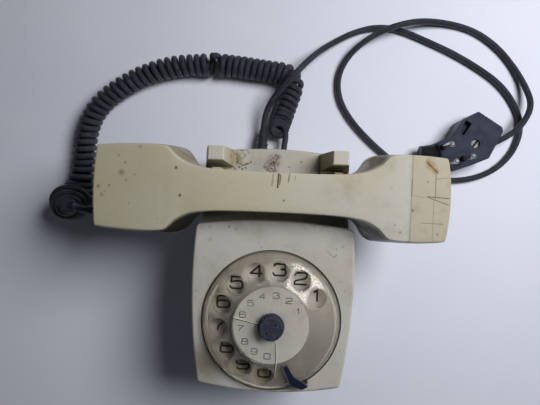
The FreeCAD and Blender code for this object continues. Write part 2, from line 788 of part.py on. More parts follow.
def stretched(x, reach):
    """Moves a section's place so that the last one is the given reach from the middle."""
    last = HEAD_SECTIONS[-1][0]
    if x <= STRETCH_FROM:
        return x
    return STRETCH_FROM + (x - STRETCH_FROM) * (reach - STRETCH_FROM) / (last - STRETCH_FROM)


def cap_wire(side, z, grow=0.0):
    """Rounded square outline of a head at its caps."""
    outer_x = HANDSET_RIGHT if side > 0 else -HANDSET_LEFT
    x0, x1 = 55.0 - grow, outer_x - 1.0 + grow
    half = CAP_HALF + grow
    corner = 12.0 + grow
    y0, y1 = HANDSET_Y - half, HANDSET_Y + half
    plate = rounded_plate(x0, x1, y0, y1, z, z + 1, corner)
    if side < 0:
        plate = plate.mirror(V(0, 0, 0), V(1, 0, 0))
    faces = [f for f in plate.Faces if at_height(f, z)]
    return faces[0].OuterWire


def handset_form():
    middle = (0.0, NECK_HALF, NECK_HALF, BACK_Z, NECK_UNDER_Z)
    wires = []
    for x, top_half, low_half, top_z, low_z in reversed(HEAD_SECTIONS):
        wires.append(section_wire(-stretched(x, -HANDSET_LEFT), top_half, low_half, top_z, low_z))
    wires.append(section_wire(*middle))
    for x, top_half, low_half, top_z, low_z in HEAD_SECTIONS:
        wires.append(section_wire(stretched(x, HANDSET_RIGHT), top_half, low_half, top_z, low_z))
    whole = Part.makeLoft(wires, True, False)
    return whole.cut(box(-150, 150, -20, 120, 0, CAP_TOP_Z))


def make_handset_shell():
    shell = handset_form()
    for side in (-1, 1):
        shell = shell.cut(capsule_room(side))
    channel = box(-62, 62, HANDSET_Y - 6, HANDSET_Y + 6, NECK_UNDER_Z + 3.5, 88)
    shell = shell.cut(channel)
    return shell.cut(rod(3.7, (HANDSET_LEFT - 5, RELIEF_Y, RELIEF_Z), (-96, RELIEF_Y, RELIEF_Z)))


CAPSULE_R = 21.0
CAPSULE_X = {1: 79.5, -1: -82.5}
RELIEF_Y = 31.0
RELIEF_Z = 61.0


def capsule_room(side):
    """Hollow inside a head, open towards its cap."""
    x = CAPSULE_X[side]
    pocket = rounded_plate(x - 20.5, x + 21.5, HANDSET_Y - 23, HANDSET_Y + 23, 40, 84, 9)
    if side < 0:
        pocket = rounded_plate(x - 24.0, x + 20.5, HANDSET_Y - 23, HANDSET_Y + 23, 40, 84, 9)
    return pocket


def make_head_cap(side):
    """Cap that closes a head, with sound holes in its face and a rim that fits inside."""
    low = cap_wire(side, CAP_LOW_Z, -7.0)
    high = cap_wire(side, CAP_TOP_Z - SEAM, 0.0)
    cap = Part.makeLoft([low, high], True, True)
    x = CAPSULE_X[side]
    cap = cap.cut(cylinder(CAPSULE_R + 0.6, CAP_LOW_Z + 4, 60, x, HANDSET_Y))
    cap = cap.cut(Part.makeSphere(40.0, V(x, HANDSET_Y, CAP_LOW_Z - 38.0)))
    rings = ((5.0, 6), (9.5, 12)) if side > 0 else ((4.5, 6), (9.0, 12), (13.5, 18))
    places = [(x, HANDSET_Y)]
    for radius, count in rings:
        places += [polar(radius, 360.0 * k / count, x, HANDSET_Y) for k in range(count)]
    for hole_x, hole_y in places:
        cap = cap.cut(cylinder(1.1, 30, 60, hole_x, hole_y))
    return cap


def make_capsule(side):
    """Round metal capsule behind the sound holes."""
    x = CAPSULE_X[side]
    can = cylinder(CAPSULE_R - 1.0, CAP_LOW_Z + 5.0, CAP_LOW_Z + 16.0, x, HANDSET_Y)
    rim = cylinder(CAPSULE_R, CAP_LOW_Z + 5.0, CAP_LOW_Z + 7.0, x, HANDSET_Y)
    stud = cylinder(4.0, CAP_LOW_Z + 15, CAP_LOW_Z + 18.5, x, HANDSET_Y)
    return join([can, rim, stud])


def make_handset_relief():
    start = (-100.0, RELIEF_Y, RELIEF_Z)
    wall = (HANDSET_LEFT + 2.0, RELIEF_Y, RELIEF_Z)
    out = (HANDSET_LEFT - 1.0, RELIEF_Y, RELIEF_Z)
    sleeve = rod(3.6, start, out)
    boot = taper(4.6, 3.0, out, (HANDSET_LEFT - 13.0, RELIEF_Y, RELIEF_Z - 1.0))
    collar = rod(5.0, out, (HANDSET_LEFT - 2.6, RELIEF_Y, RELIEF_Z))
    return join([sleeve, boot, collar])


# ---------------------------------------------------------------- cords
def routed_tube(points, diameter, name):
    """A round cord along straight runs joined by tangent arcs."""
    nodes = [V(*p) for p in points]
    edges = []
    start = nodes[0]
    radii = []
    for before, corner, after in zip(nodes, nodes[1:], nodes[2:]):
        to_corner, to_next = corner - before, after - corner
        run = min(to_corner.Length, to_next.Length)
        turn = to_corner.getAngle(to_next)
        back = ARC_SHARE * run
        radii.append(back / math.tan(turn / 2))
        first = corner - V(to_corner).normalize() * back
        last = corner + V(to_next).normalize() * back
        toward = ((first + last) * 0.5 - corner).normalize()
        gap = radii[-1] / math.cos(turn / 2) - radii[-1]
        edges.append(Part.makeLine(start, first))
        edges.append(Part.Arc(first, corner + toward * gap, last).toShape())
        start = last
    edges.append(Part.makeLine(start, nodes[-1]))
    path = Part.Wire(edges)
    along = edges[0].tangentAt(edges[0].FirstParameter)
    circle = Part.Wire(Part.makeCircle(diameter / 2, nodes[0], along))
    tube = path.makePipeShell([circle], True, True)
    expected = math.pi * diameter * diameter / 4 * path.Length
    print("%s: length %.0f, smallest radius %.1f, volume %.4f of section x length; radii %s" % (
        name, path.Length, min(radii), tube.Volume / expected,
        " ".join("%.0f" % r for r in radii)))
    return tube


LINE_ROUTE = [
    (-12.0, 98.0, 9.0),
    (-11.5, 109.0, 11.0),
    (-6.0, 121.0, 16.0),
    (5.0, 133.0, 22.5),
    (17.0, 147.0, 22.5),
    (28.0, 160.0, 14.0),
    (42.0, 172.0, 5.0),
    (58.0, 181.5, 2.6),
    (76.0, 186.5, 2.4),
    (95.0, 184.5, 2.6),
    (115.0, 177.0, 2.4),
    (137.0, 168.0, 2.6),
    (158.0, 157.0, 2.4),
    (176.0, 145.0, 2.6),
    (189.0, 129.0, 2.4),
    (195.0, 111.0, 2.6),
    (190.0, 92.0, 2.4),
    (177.0, 77.0, 2.6),
    (159.0, 68.0, 2.4),
    (138.0, 65.0, 2.6),
    (118.0, 66.5, 2.4),
    (101.0, 73.0, 2.6),
    (86.0, 84.0, 2.4),
    (71.0, 96.5, 2.6),
    (57.0, 111.0, 2.4),
    (47.5, 127.0, 2.6),
    (45.5, 144.0, 2.4),
    (52.0, 160.0, 4.0),
    (64.0, 172.0, 8.0),
    (80.0, 181.0, 11.8),
    (99.0, 187.5, 11.8),
    (117.0, 191.5, 6.0),
    (137.0, 191.0, 2.6),
    (155.0, 186.0, 2.4),
    (172.0, 175.0, 2.6),
    (186.0, 160.0, 2.4),
    (195.5, 143.0, 5.0),
    (197.5, 126.0, 11.8),
    (189.5, 110.0, 12.2),
    (179.0, 101.0, 11.0),
    (170.5, 96.5, 9.0),
]
CURLY_TAIL_ROUTE = [(5.0, 82.0, 10.0), (4.4, 90.0, 9.0), (6.0, 97.5, 8.6)]
COIL_ROUTE = [
    (0.6, 99.0, 8.6),
    (5.4, 116.7, 8.6),
    (12.2, 136.5, 8.6),
    (4.0, 146.5, 8.6),
    (-8.4, 144.6, 8.6),
    (-35.3, 148.0, 8.6),
    (-60.7, 148.4, 8.6),
    (-83.2, 145.9, 8.6),
    (-105.4, 138.4, 8.6),
    (-126.0, 126.2, 8.6),
    (-141.0, 112.6, 8.6),
    (-149.2, 97.0, 8.6),
    (-151.6, 78.5, 8.6),
    (-151.8, 60.0, 8.6),
]
RISE_ROUTE = [
    (-151.8, 58.6, 8.6),
    (-151.8, 47.0, 9.8),
    (-149.5, 37.5, 23.0),
    (-144.0, 34.0, 38.0),
    (-139.0, 33.0, 54.0),
]
TAIL_START = (-134.5, 32.0, 56.0)
TAIL_END = (HANDSET_LEFT - 13.0, RELIEF_Y, RELIEF_Z - 1.0)


def make_line_relief():
    """Ribbed rubber sleeve, held by its flange inside the rear wall."""
    y0 = 72.0
    sleeve = rod(4.1, (LINE_X, y0, GLAND_Z), (LINE_X, 80, GLAND_Z))
    flange = rod(5.2, (LINE_X, y0, GLAND_Z), (LINE_X, 75.0, GLAND_Z))
    body = taper(4.3, 2.9, (LINE_X, 80, GLAND_Z), LINE_ROUTE[0])
    ribs = []
    for k in range(4):
        share = 0.12 + 0.2 * k
        y = 80 + 18 * share
        z = GLAND_Z + (LINE_ROUTE[0][2] - GLAND_Z) * share
        ribs.append(rod(4.7 - 1.2 * share, (LINE_X, y, z), (LINE_X, y + 1.6, z)))
    return join([sleeve, flange, body] + ribs)


def make_curly_relief():
    sleeve = rod(4.1, (CURLY_X, 72, GLAND_Z), (CURLY_X, 80, GLAND_Z))
    flange = rod(5.2, (CURLY_X, 72, GLAND_Z), (CURLY_X, 75.0, GLAND_Z))
    nose = taper(4.1, 3.0, (CURLY_X, 80, GLAND_Z), (CURLY_X, 82, GLAND_Z))
    return join([sleeve, flange, nose])


# ---------------------------------------------------------------- plug
PLUG_SPLIT_Z = 9.0
PLUG_TOP_Z = 18.0
PIN_R = 2.0
PIN_ROOT_R = 2.3
PIN_COLLAR_R = 2.6
PIN_LENGTH = 17.0
PLUG_PINS = [(126.8, 90.0), (130.5, 77.8), (142.6, 82.0)]
PLUG_SCREW = (151.5, 93.6)


def plug_outline(z0, z1):
    corners = [
        (122.3, 93.2),
        (134.0, 99.4),
        (141.2, 111.6),
        (153.0, 118.6),
        (171.5, 107.6),
        (172.5, 104.0),
        (162.5, 83.0),
        (150.0, 77.4),
        (135.0, 71.6),
        (127.2, 77.8),
    ]
    block = polygon(corners, z0, z1)
    uprights = [e for e in block.Edges if abs(e.tangentAt(e.FirstParameter).z) > 0.9]
    return block.makeFillet(1.3, uprights)


def make_plug_base():
    """Lower half, which lies on the ground."""
    half = plug_outline(0.0, PLUG_SPLIT_Z - 0.1)
    half = soften(half, 1.2, lambda e: at_height(e, 0.0))
    room = plug_outline(2.5, PLUG_SPLIT_Z + 1)
    room.scale(0.82, V(148, 95, 5))
    half = half.cut(room)
    half = half.cut(rod(2.4, LINE_ROUTE[-1], (150, 95, 9)))
    boss = cylinder(3.2, 0.5, PLUG_SPLIT_Z - 0.1, *PLUG_SCREW)
    return join([half, boss]).cut(cylinder(1.2, 1.5, 20, *PLUG_SCREW))


def make_plug_cover():
    """Upper half with the pins' holes, the screw's recess and the window in its slope."""
    half = plug_outline(PLUG_SPLIT_Z, PLUG_TOP_Z)
    half = soften(half, 0.9, lambda e: at_height(e, PLUG_TOP_Z))
    half = half.cut(cylinder(3.4, PLUG_TOP_Z - 3.0, 30, *PLUG_SCREW))
    half = half.cut(cylinder(1.5, 0, 30, *PLUG_SCREW))
    for x, y in PLUG_PINS:
        half = half.cut(cylinder(PIN_ROOT_R, 0, 30, x, y))
        half = half.cut(cylinder(PIN_COLLAR_R, 0, PLUG_SPLIT_Z + 2.0, x, y))
    window = box(-5.5, 5.5, -2.6, 2.6, PLUG_TOP_Z - 5, 30)
    window.rotate(V(0, 0, 0), Z_AXIS, 58)
    window.translate(V(142.8, 105.5, 0))
    half = half.cut(window)
    return half.cut(rod(2.4, LINE_ROUTE[-1], (150, 95, 9)))


def make_plug_pins():
    """Round-ended pins with a thicker root in the cover and a collar under it."""
    pins = []
    top = PLUG_TOP_Z + PIN_LENGTH
    for x, y in PLUG_PINS:
        pin = soften(cylinder(PIN_R, PLUG_SPLIT_Z, top, x, y), 1.2, lambda e: at_height(e, top))
        root = cylinder(PIN_ROOT_R, PLUG_SPLIT_Z, PLUG_TOP_Z, x, y)
        collar = cylinder(PIN_COLLAR_R, PLUG_SPLIT_Z, PLUG_SPLIT_Z + 2.0, x, y)
        pins.append(join([pin, root, collar]))
    return group(pins)


def make_plug_screw():
    x, y = PLUG_SCREW
    return screw(x, y, PLUG_TOP_Z - 1.4, 12.0, 3.0, 1.15, up=False)


def make_plug_cap():
    """Ribbed cap closing the unused cable entry."""
    near, far = (124.6, 85.6, 9.0), (111.8, 86.0, 9.0)
    cap = taper(7.6, 5.2, near, far)
    cap = cap.cut(plug_outline(-1, 20))
    for k in range(8):
        angle = math.radians(45 * k + 22.5)
        dy, dz = math.cos(angle), math.sin(angle)
        groove = rod(0.55, (122, 85.6 + 7.6 * dy, 9 + 7.6 * dz), (113, 86.0 + 5.9 * dy, 9 + 5.9 * dz))
        cap = cap.cut(groove)
    return cap


# ---------------------------------------------------------------- all pieces
def main():
    os.makedirs("parts", exist_ok=True)
    slot = stop_slot()
    save("housing", make_housing().cut(slot))
    save("base_plate", make_base())
    save("wall_pads", make_pads())
    save("cover_screws", make_cover_screws())
    save("dial_cup", make_dial_cup().cut(slot))
    save("number_plate", make_number_plate().cut(slot))
    save("frame_plate", make_frame_plate())
    save("frame_screws", make_frame_screws())
    save("dial_bearing", make_bearing())
    save("dial_shaft", make_shaft())
    save("finger_wheel", make_finger_wheel())
    save("label_disc", make_label_disc())
    save("label_window", make_label_window())
    save("hub_ring", make_hub_ring())
    save("hub_cap", make_hub_cap())
    save("finger_stop", make_finger_stop())
    save("main_gear", make_main_gear())
    save("pulse_cam", make_pulse_cam())
    save("main_spring", make_main_spring())
    save("governor_pinion", make_governor_pinion())
    save("governor_weights", make_governor_weights())
    save("governor_cup", make_governor_cup())
    save("pulse_contacts", make_pulse_contacts())
    save("circuit_board", make_board())
    save("board_screws", make_board_screws())
    save("transformer", make_transformer())
    save("capacitor", make_capacitor())
    save("terminal_block", make_terminal_block())
    save("terminal_screws", make_terminal_screws())
    save("ringer_frame", make_ringer_frame())
    save("ringer_coils", make_coils())
    save("clapper", make_clapper())
    save("gong_screws", make_gong_screws())
    for side, word in ((-1, "left"), (1, "right")):
        save("gong_" + word, make_gong(side))
        save("cradle_arm_" + word, make_cradle_arm(side))
    save("cradle_yoke", make_cradle_yoke())
    save("cradle_guides", make_cradle_guides())
    save("cradle_springs", make_cradle_springs())
    save("hook_switch", make_hook_switch())
    save("handset_shell", make_handset_shell())
    for side, cap, capsule in ((1, "ear_cap", "receiver"), (-1, "mouth_cap", "transmitter")):
        save(cap, make_head_cap(side))
        save(capsule, make_capsule(side))
    save("handset_relief", make_handset_relief())
    save("line_relief", make_line_relief())
    save("curly_relief", make_curly_relief())
    save("line_cord", routed_tube(LINE_ROUTE, LINE_D, "line cord"))
    save("curly_tail", routed_tube(CURLY_TAIL_ROUTE, CURLY_D, "curly tail"))
    save("curly_coil", routed_tube(COIL_ROUTE, COIL_D, "curly coil"))
    save("curly_rise", routed_tube(RISE_ROUTE, COIL_D, "curly rise"))
    save("handset_tail", rod(CURLY_D / 2, TAIL_START, TAIL_END))
    save("plug_base", make_plug_base())
    save("plug_cover", make_plug_cover())
    save("plug_pins", make_plug_pins())
    save("plug_screw", make_plug_screw())
    save("plug_cap", make_plug_cap())


main()
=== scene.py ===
"""The look of a narrow rotary wall telephone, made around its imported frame.

Everything is in metres, with +Z out of the wall and +Y up it. at() takes millimetres, for places that are
drawn about the housing's centre line.
"""
import json
import math

import bpy
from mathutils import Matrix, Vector, noise


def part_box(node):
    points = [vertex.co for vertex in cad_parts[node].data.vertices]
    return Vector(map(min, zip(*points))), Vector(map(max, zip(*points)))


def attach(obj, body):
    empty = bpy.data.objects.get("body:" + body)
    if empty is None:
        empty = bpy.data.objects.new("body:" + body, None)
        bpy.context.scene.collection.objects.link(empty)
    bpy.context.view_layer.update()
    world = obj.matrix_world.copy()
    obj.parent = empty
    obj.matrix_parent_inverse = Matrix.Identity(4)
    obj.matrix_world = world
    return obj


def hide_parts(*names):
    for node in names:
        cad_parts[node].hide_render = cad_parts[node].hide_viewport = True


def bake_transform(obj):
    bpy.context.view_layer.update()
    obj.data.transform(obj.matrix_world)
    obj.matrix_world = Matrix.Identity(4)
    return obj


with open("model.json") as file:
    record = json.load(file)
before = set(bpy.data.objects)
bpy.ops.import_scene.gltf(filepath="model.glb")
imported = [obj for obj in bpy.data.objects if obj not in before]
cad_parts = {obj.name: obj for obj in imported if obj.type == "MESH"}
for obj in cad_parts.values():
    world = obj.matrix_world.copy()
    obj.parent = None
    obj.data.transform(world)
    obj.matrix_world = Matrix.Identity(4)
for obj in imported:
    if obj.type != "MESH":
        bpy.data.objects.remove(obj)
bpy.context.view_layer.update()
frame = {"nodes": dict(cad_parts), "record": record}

MM = 0.001
NODES = frame["nodes"]


def middle(node):
    low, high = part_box(node)
    return (low + high) / 2


CENTRE_X = middle("housing").x
DIAL = middle("finger_wheel")
PLATE_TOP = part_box("number_plate")[1].z
WHEEL_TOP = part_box("finger_wheel")[1].z
CARD_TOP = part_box("label_disc")[1].z


def at(x, y, z):
    """A place drawn in millimetres about the housing's centre line."""
    return Vector((CENTRE_X + x * MM, y * MM, z * MM))


# ---------------------------------------------------------------- camera, floor and light
CAMERA_PLACE = (-0.0007, 0.0415, 0.340)
CAMERA_ROLL = 2.6
CAMERA_LENS = 28
SENSOR_WIDTH = 36
SKY_COLOUR = (0.80, 0.85, 1.0, 1)
SKY_STRENGTH = 0.026
LAMPS = [
    # name, place, diameter, power in watts, colour, whether it lights, whether it shows in reflections
    ("window", (0.34, 0.24, 0.52), 0.35, 4.2, (1.0, 0.985, 0.97), True, False),
    ("window_gloss", (0.35, 0.30, 0.62), 0.8, 0.8, (1.0, 0.99, 0.98), False, True),
    ("room", (-0.35, 0.25, 0.9), 0.7, 0.05, (0.88, 0.93, 1.0), True, True),
    ("front", (-0.15, -0.95, 0.28), 0.6, 0.45, (0.94, 0.97, 1.0), True, True),
]
FLOOR_HALF = 3


def make_camera():
    data = bpy.data.cameras.new("camera")
    data.lens = CAMERA_LENS
    data.sensor_width = SENSOR_WIDTH
    data.clip_start = 0.01
    camera = bpy.data.objects.new("camera", data)
    camera.location = CAMERA_PLACE
    camera.rotation_euler = (0, 0, math.radians(CAMERA_ROLL))
    bpy.context.scene.collection.objects.link(camera)
    bpy.context.scene.camera = camera


def make_lamp(name, place, size, power, colour, lights, shines):
    """A round soft lamp that faces the middle of the object's back."""
    data = bpy.data.lights.new(name, "AREA")
    data.shape = "DISK"
    data.size = size
    data.energy = power
    data.color = colour
    lamp = bpy.data.objects.new(name, data)
    lamp.location = place
    lamp.rotation_euler = (Vector(place) * -1).to_track_quat("-Z", "Y").to_euler()
    lamp.visible_diffuse = lights
    lamp.visible_glossy = shines
    bpy.context.scene.collection.objects.link(lamp)


def make_light():
    world = bpy.data.worlds.new("soft_room")
    world.use_nodes = True
    sky = world.node_tree.nodes["Background"]
    sky.inputs["Color"].default_value = SKY_COLOUR
    sky.inputs["Strength"].default_value = SKY_STRENGTH
    bpy.context.scene.world = world
    for lamp in LAMPS:
        make_lamp(*lamp)
    bpy.context.scene.view_settings.view_transform = "Standard"


# ---------------------------------------------------------------- small mesh tools
def piece_from(name, vertices, faces, material, body=None, smooth=True):
    data = bpy.data.meshes.new(name)
    data.from_pydata([tuple(v) for v in vertices], [], faces)
    data.validate()
    data.update()
    data.polygons.foreach_set("use_smooth", [smooth] * len(data.polygons))
    data.materials.append(material)
    made = bpy.data.objects.new(name, data)
    bpy.context.scene.collection.objects.link(made)
    if body:
        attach(made, body)
    return made


def nurbs(name, points, cyclic=False):
    """An open or closed smooth line with the points as its control points."""
    data = bpy.data.curves.new(name, "CURVE")
    data.dimensions = "3D"
    data.resolution_u = 12
    spline = data.splines.new("NURBS")
    spline.points.add(len(points) - 1)
    for point, place in zip(spline.points, points):
        point.co = (*place, 1)
    spline.use_cyclic_u = cyclic
    spline.use_endpoint_u = not cyclic
    spline.order_u = 3
    made = bpy.data.objects.new(name, data)
    bpy.context.scene.collection.objects.link(made)
    return made


def line_of(points):
    """The points of the smooth line through a route."""
    curve = nurbs("route", points)
    data = bpy.data.meshes.new_from_object(curve)
    line = [v.co.copy() for v in data.vertices]
    bpy.data.objects.remove(curve)
    return line


def evenly(line, step):
    """The same line with points about a step apart."""
    total = sum((b - a).length for a, b in zip(line, line[1:]))
    count = max(2, round(total / step))
    made, k, walked = [line[0].copy()], 0, 0.0
    for n in range(1, count):
        wanted = total * n / count
        while walked + (line[k + 1] - line[k]).length < wanted:
            walked += (line[k + 1] - line[k]).length
            k += 1
        made.append(line[k].lerp(line[k + 1], (wanted - walked) / (line[k + 1] - line[k]).length))
    return made + [line[-1].copy()]


def tube(line, radius, sides):
    """Vertices and faces of a closed round tube along a line."""
    vertices, faces = [], []
    ahead = (line[1] - line[0]).normalized()
    across = ahead.orthogonal().normalized()
    for k, place in enumerate(line):
        before, after = line[max(k - 1, 0)], line[min(k + 1, len(line) - 1)]
        ahead = (after - before).normalized()
        across = (across - ahead * across.dot(ahead)).normalized()
        up = ahead.cross(across)
        for s in range(sides):
            turn = 2 * math.pi * s / sides
            vertices.append(place + (across * math.cos(turn) + up * math.sin(turn)) * radius)
    for k in range(len(line) - 1):
        for s in range(sides):
            a, b = k * sides + s, k * sides + (s + 1) % sides
            faces.append((a, b, b + sides, a + sides))
    faces.append(tuple(range(sides))[::-1])
    faces.append(tuple(range((len(line) - 1) * sides, len(line) * sides)))
    return vertices, faces


def lathe(profile, centre, steps=96):
    """Vertices and faces of a ring turned about a vertical line, from points of radius and height."""
    count = len(profile)
    vertices = [Vector((centre.x + r * math.cos(2 * math.pi * k / steps),
                        centre.y + r * math.sin(2 * math.pi * k / steps), z))
                for k in range(steps) for r, z in profile]
    faces = []
    for k in range(steps):
        here, there = k * count, (k + 1) % steps * count
        for n in range(count):
            m = (n + 1) % count
            faces.append((here + n, there + n, there + m, here + m))
    return vertices, faces


def ribbon(line, half, lift):
    """A thin closed strip along a line, narrower towards its ends, from its half-width and thickness."""
    vertices, faces = [], []
    for k, place in enumerate(line):
        ahead = (line[min(k + 1, len(line) - 1)] - line[max(k - 1, 0)]).normalized()
        from_middle = abs(2 * k / (len(line) - 1) - 1)
        side = ahead.cross(Vector((0, 0, 1))).normalized() * half * (1.05 - 0.8 * from_middle ** 3)
        up = Vector((0, 0, lift))
        vertices += [place - side, place + side, place + side + up, place - side + up]
    for k in range(len(line) - 1):
        for n in range(4):
            a, b = 4 * k + n, 4 * k + (n + 1) % 4
            faces.append((a, b, b + 4, a + 4))
    last = 4 * (len(line) - 1)
    return vertices, faces + [(3, 2, 1, 0), (last, last + 1, last + 2, last + 3)]


def smooth_step(x, low, high):
    t = min(1.0, max(0.0, (x - low) / (high - low)))
    return t * t * (3 - 2 * t)


# ---------------------------------------------------------------- materials
def shade(r, g, b):
    """A colour given as it looks on a screen, 0 to 255."""
    def linear(c):
        c /= 255
        return c / 12.92 if c <= 0.04045 else ((c + 0.055) / 1.055) ** 2.4
    return (linear(r), linear(g), linear(b), 1.0)


class Paint:
    """One material, built up a layer at a time."""

    def __init__(self, name, colour, roughness=0.5, **values):
        self.material = bpy.data.materials.new(name)
        self.material.use_nodes = True
        self.tree = self.material.node_tree
        self.shader = self.tree.nodes["Principled BSDF"]
        self.shader.inputs["Base Color"].default_value = colour
        self.shader.inputs["Roughness"].default_value = roughness
        for name_of_value, value in values.items():
            self.shader.inputs[name_of_value.replace("_", " ")].default_value = value
        self.place = self.node("ShaderNodeTexCoord").outputs["Object"]
        self.colour = colour
        self.height = None

    def node(self, kind, **settings):
        made = self.tree.nodes.new(kind)
        for key, value in settings.items():
            setattr(made, key, value)
        return made

    def put(self, socket, value):
        """Links an output to a socket, or sets the socket to a plain value."""
        if isinstance(value, bpy.types.NodeSocket):
            self.tree.links.new(value, socket)
        else:
            socket.default_value = value

    def noise(self, scale, detail=4.0, rough=0.55, bend=0.0, stretch=None):
        made = self.node("ShaderNodeTexNoise")
        place = self.vectors("MULTIPLY", self.place, stretch)["Vector"] if stretch else self.place
        self.put(made.inputs["Vector"], place)
        made.inputs["Scale"].default_value = scale
        made.inputs["Detail"].default_value = detail
        made.inputs["Roughness"].default_value = rough
        made.inputs["Distortion"].default_value = bend
        return made.outputs["Fac"]

    def vectors(self, operation, a, b=(0, 0, 0), scale=1.0):
        """The outputs of a sum on vectors, by name: Vector or Value."""
        made = self.node("ShaderNodeVectorMath", operation=operation)
        for socket, value in zip((made.inputs[0], made.inputs[1], made.inputs[3]), (a, b, scale)):
            self.put(socket, value)
        return made.outputs

    def span(self, value, low, high, out_low=0.0, out_high=1.0):
        """Eases a value from low to high into out_low to out_high."""
        made = self.node("ShaderNodeMapRange", interpolation_type="SMOOTHSTEP")
        self.put(made.inputs["Value"], value)
        made.inputs["From Min"].default_value = low
        made.inputs["From Max"].default_value = high
        made.inputs["To Min"].default_value = out_low
        made.inputs["To Max"].default_value = out_high
        return made.outputs["Result"]

    def sums(self, operation, a, b=0.0):
        made = self.node("ShaderNodeMath", operation=operation)
        self.put(made.inputs[0], a)
        self.put(made.inputs[1], b)
        return made.outputs["Value"]

    def outlines(self, scale, width):
        """1 along wandering lines, like the dried edges of a spill."""
        away = self.sums("ABSOLUTE", self.sums("SUBTRACT", self.noise(scale, 3), 0.5))
        return self.span(away, 0.0, width, 1.0, 0.0)

    def axis(self, letter):
        made = self.node("ShaderNodeSeparateXYZ")
        self.put(made.inputs[0], self.place)
        return made.outputs[letter]

    def near(self, place, radius, squash=(1, 1, 1)):
        """1 at a place, easing to 0 at a radius from it."""
        away = self.vectors("SUBTRACT", self.place, place)["Vector"]
        far = self.vectors("LENGTH", self.vectors("MULTIPLY", away, squash)["Vector"])["Value"]
        return self.span(far, 0.0, radius, 1.0, 0.0)

    def layer(self, mask, colour):
        """Lays a colour over what is there, where the mask is 1."""
        made = self.node("ShaderNodeMix", data_type="RGBA")
        self.put(made.inputs["Factor"], mask)
        self.put(made.inputs["A"], self.colour)
        self.put(made.inputs["B"], colour)
        self.colour = made.outputs["Result"]
        self.put(self.shader.inputs["Base Color"], self.colour)

    def ragged(self, amount, scale):
        """The place, pushed about a little so that marks have uneven outlines."""
        texture = self.node("ShaderNodeTexNoise")
        self.put(texture.inputs["Vector"], self.place)
        texture.inputs["Scale"].default_value = scale
        centred = self.vectors("SUBTRACT", texture.outputs["Color"], (0.5, 0.5, 0.5))["Vector"]
        push = self.vectors("SCALE", centred, scale=amount)["Vector"]
        return self.vectors("ADD", self.place, push)["Vector"]

    def spot(self, x, y, z, radius, colour, strength=1.0, ragged=0.0, squash=(1, 1, 1)):
        """A stain at a place drawn in millimetres."""
        place = self.place
        if ragged:
            self.place = self.ragged(ragged * MM, 1.2 / (radius * MM))
        mask = self.near(at(x, y, z), radius * MM, squash)
        self.place = place
        self.layer(self.sums("MULTIPLY", mask, strength), colour)

    def scratch(self, start, end, width, colour, strength=1.0, ragged=0.0):
        """A thin mark between two places drawn in millimetres, seen from above."""
        a, b = at(*start), at(*end)
        along = b - a
        place = self.ragged(ragged * MM, 900) if ragged else self.place
        from_start = self.vectors("SUBTRACT", place, a)["Vector"]
        kept = self.node("ShaderNodeClamp")
        share = self.vectors("DOT_PRODUCT", from_start, along / along.length_squared)["Value"]
        self.put(kept.inputs["Value"], share)
        foot = self.vectors("SCALE", along, scale=kept.outputs["Result"])["Vector"]
        away = self.vectors("SUBTRACT", from_start, foot)["Vector"]
        far = self.vectors("LENGTH", self.vectors("MULTIPLY", away, (1, 1, 0.12))["Vector"])["Value"]
        mask = self.span(far, width * MM * 0.35, width * MM * 0.75, strength, 0.0)
        self.layer(mask, colour)

    def corners(self, distance):
        """1 in narrow corners, 0 in the open."""
        made = self.node("ShaderNodeAmbientOcclusion", samples=6)
        made.inputs["Distance"].default_value = distance
        return self.span(made.outputs["AO"], 0.35, 0.9, 1.0, 0.0)

    def edges(self, radius):
        """1 along edges, 0 elsewhere."""
        soft = self.node("ShaderNodeBevel", samples=4)
        soft.inputs["Radius"].default_value = radius
        plain = self.node("ShaderNodeNewGeometry")
        along = self.vectors("DOT_PRODUCT", soft.outputs["Normal"], plain.outputs["Normal"])["Value"]
        return self.span(along, 0.80, 0.99, 1.0, 0.0)

    def rough(self, value):
        self.put(self.shader.inputs["Roughness"], value)

    def bump(self, height, distance, strength=1.0):
        made = self.node("ShaderNodeBump")
        made.inputs["Strength"].default_value = strength
        made.inputs["Distance"].default_value = distance
        self.put(made.inputs["Height"], height)
        if self.height is not None:
            self.put(made.inputs["Normal"], self.height)
        self.height = made.outputs["Normal"]
        self.put(self.shader.inputs["Normal"], self.height)


def old_plastic(name, colour, warm, grime_and_shade, roughness=0.42):
    """Moulded plastic that has yellowed unevenly and gathered dirt, with the dirt colour also laid in
    narrow corners as painted shade.
    """
    paint = Paint(name, colour, roughness, Specular_IOR_Level=0.32)
    paint.layer(paint.span(paint.noise(16, 3), 0.38, 0.68), warm)
    paint.layer(paint.span(paint.noise(48, 6, 0.65), 0.46, 0.78, 0.0, 0.30), grime_and_shade)
    paint.layer(paint.span(paint.noise(520, 3, 0.6), 0.64, 0.76, 0.0, 0.45), grime_and_shade)
    # Painted shade: the dirt colour laid darker in narrow corners, where shade falls.
    paint.layer(paint.sums("MULTIPLY", paint.corners(0.005), 0.5), grime_and_shade)
    paint.rough(paint.span(paint.noise(90, 5), 0.3, 0.7, roughness - 0.08, roughness + 0.12))
    paint.bump(paint.noise(1400, 2), 0.00004, 0.2)
    return paint


HOUSING_COLOUR = shade(178, 178, 173)
HOUSING_WARM = shade(172, 170, 160)
HANDSET_COLOUR = shade(177, 176, 169)
HANDSET_WARM = shade(170, 165, 145)
# Dirt colour; old_plastic also lays it in narrow corners as painted shade.
GRIME_AND_SHADE = shade(92, 86, 66)
RUST = shade(84, 52, 40)
DARK = shade(36, 32, 27)
AMBER = shade(134, 108, 62)

# Heights in millimetres of the surfaces that carry marks. A mark is deep, so one height each will do.
HANDSET_TOP = 93
NECK_TOP = 96
TAPE_TOP = 90
DECK_TOP = 55
FACE_TOP = 76
# Heights over which the horns' tops get painted light.
HORN_TIP = (0.0786, 0.0794)     # in metres

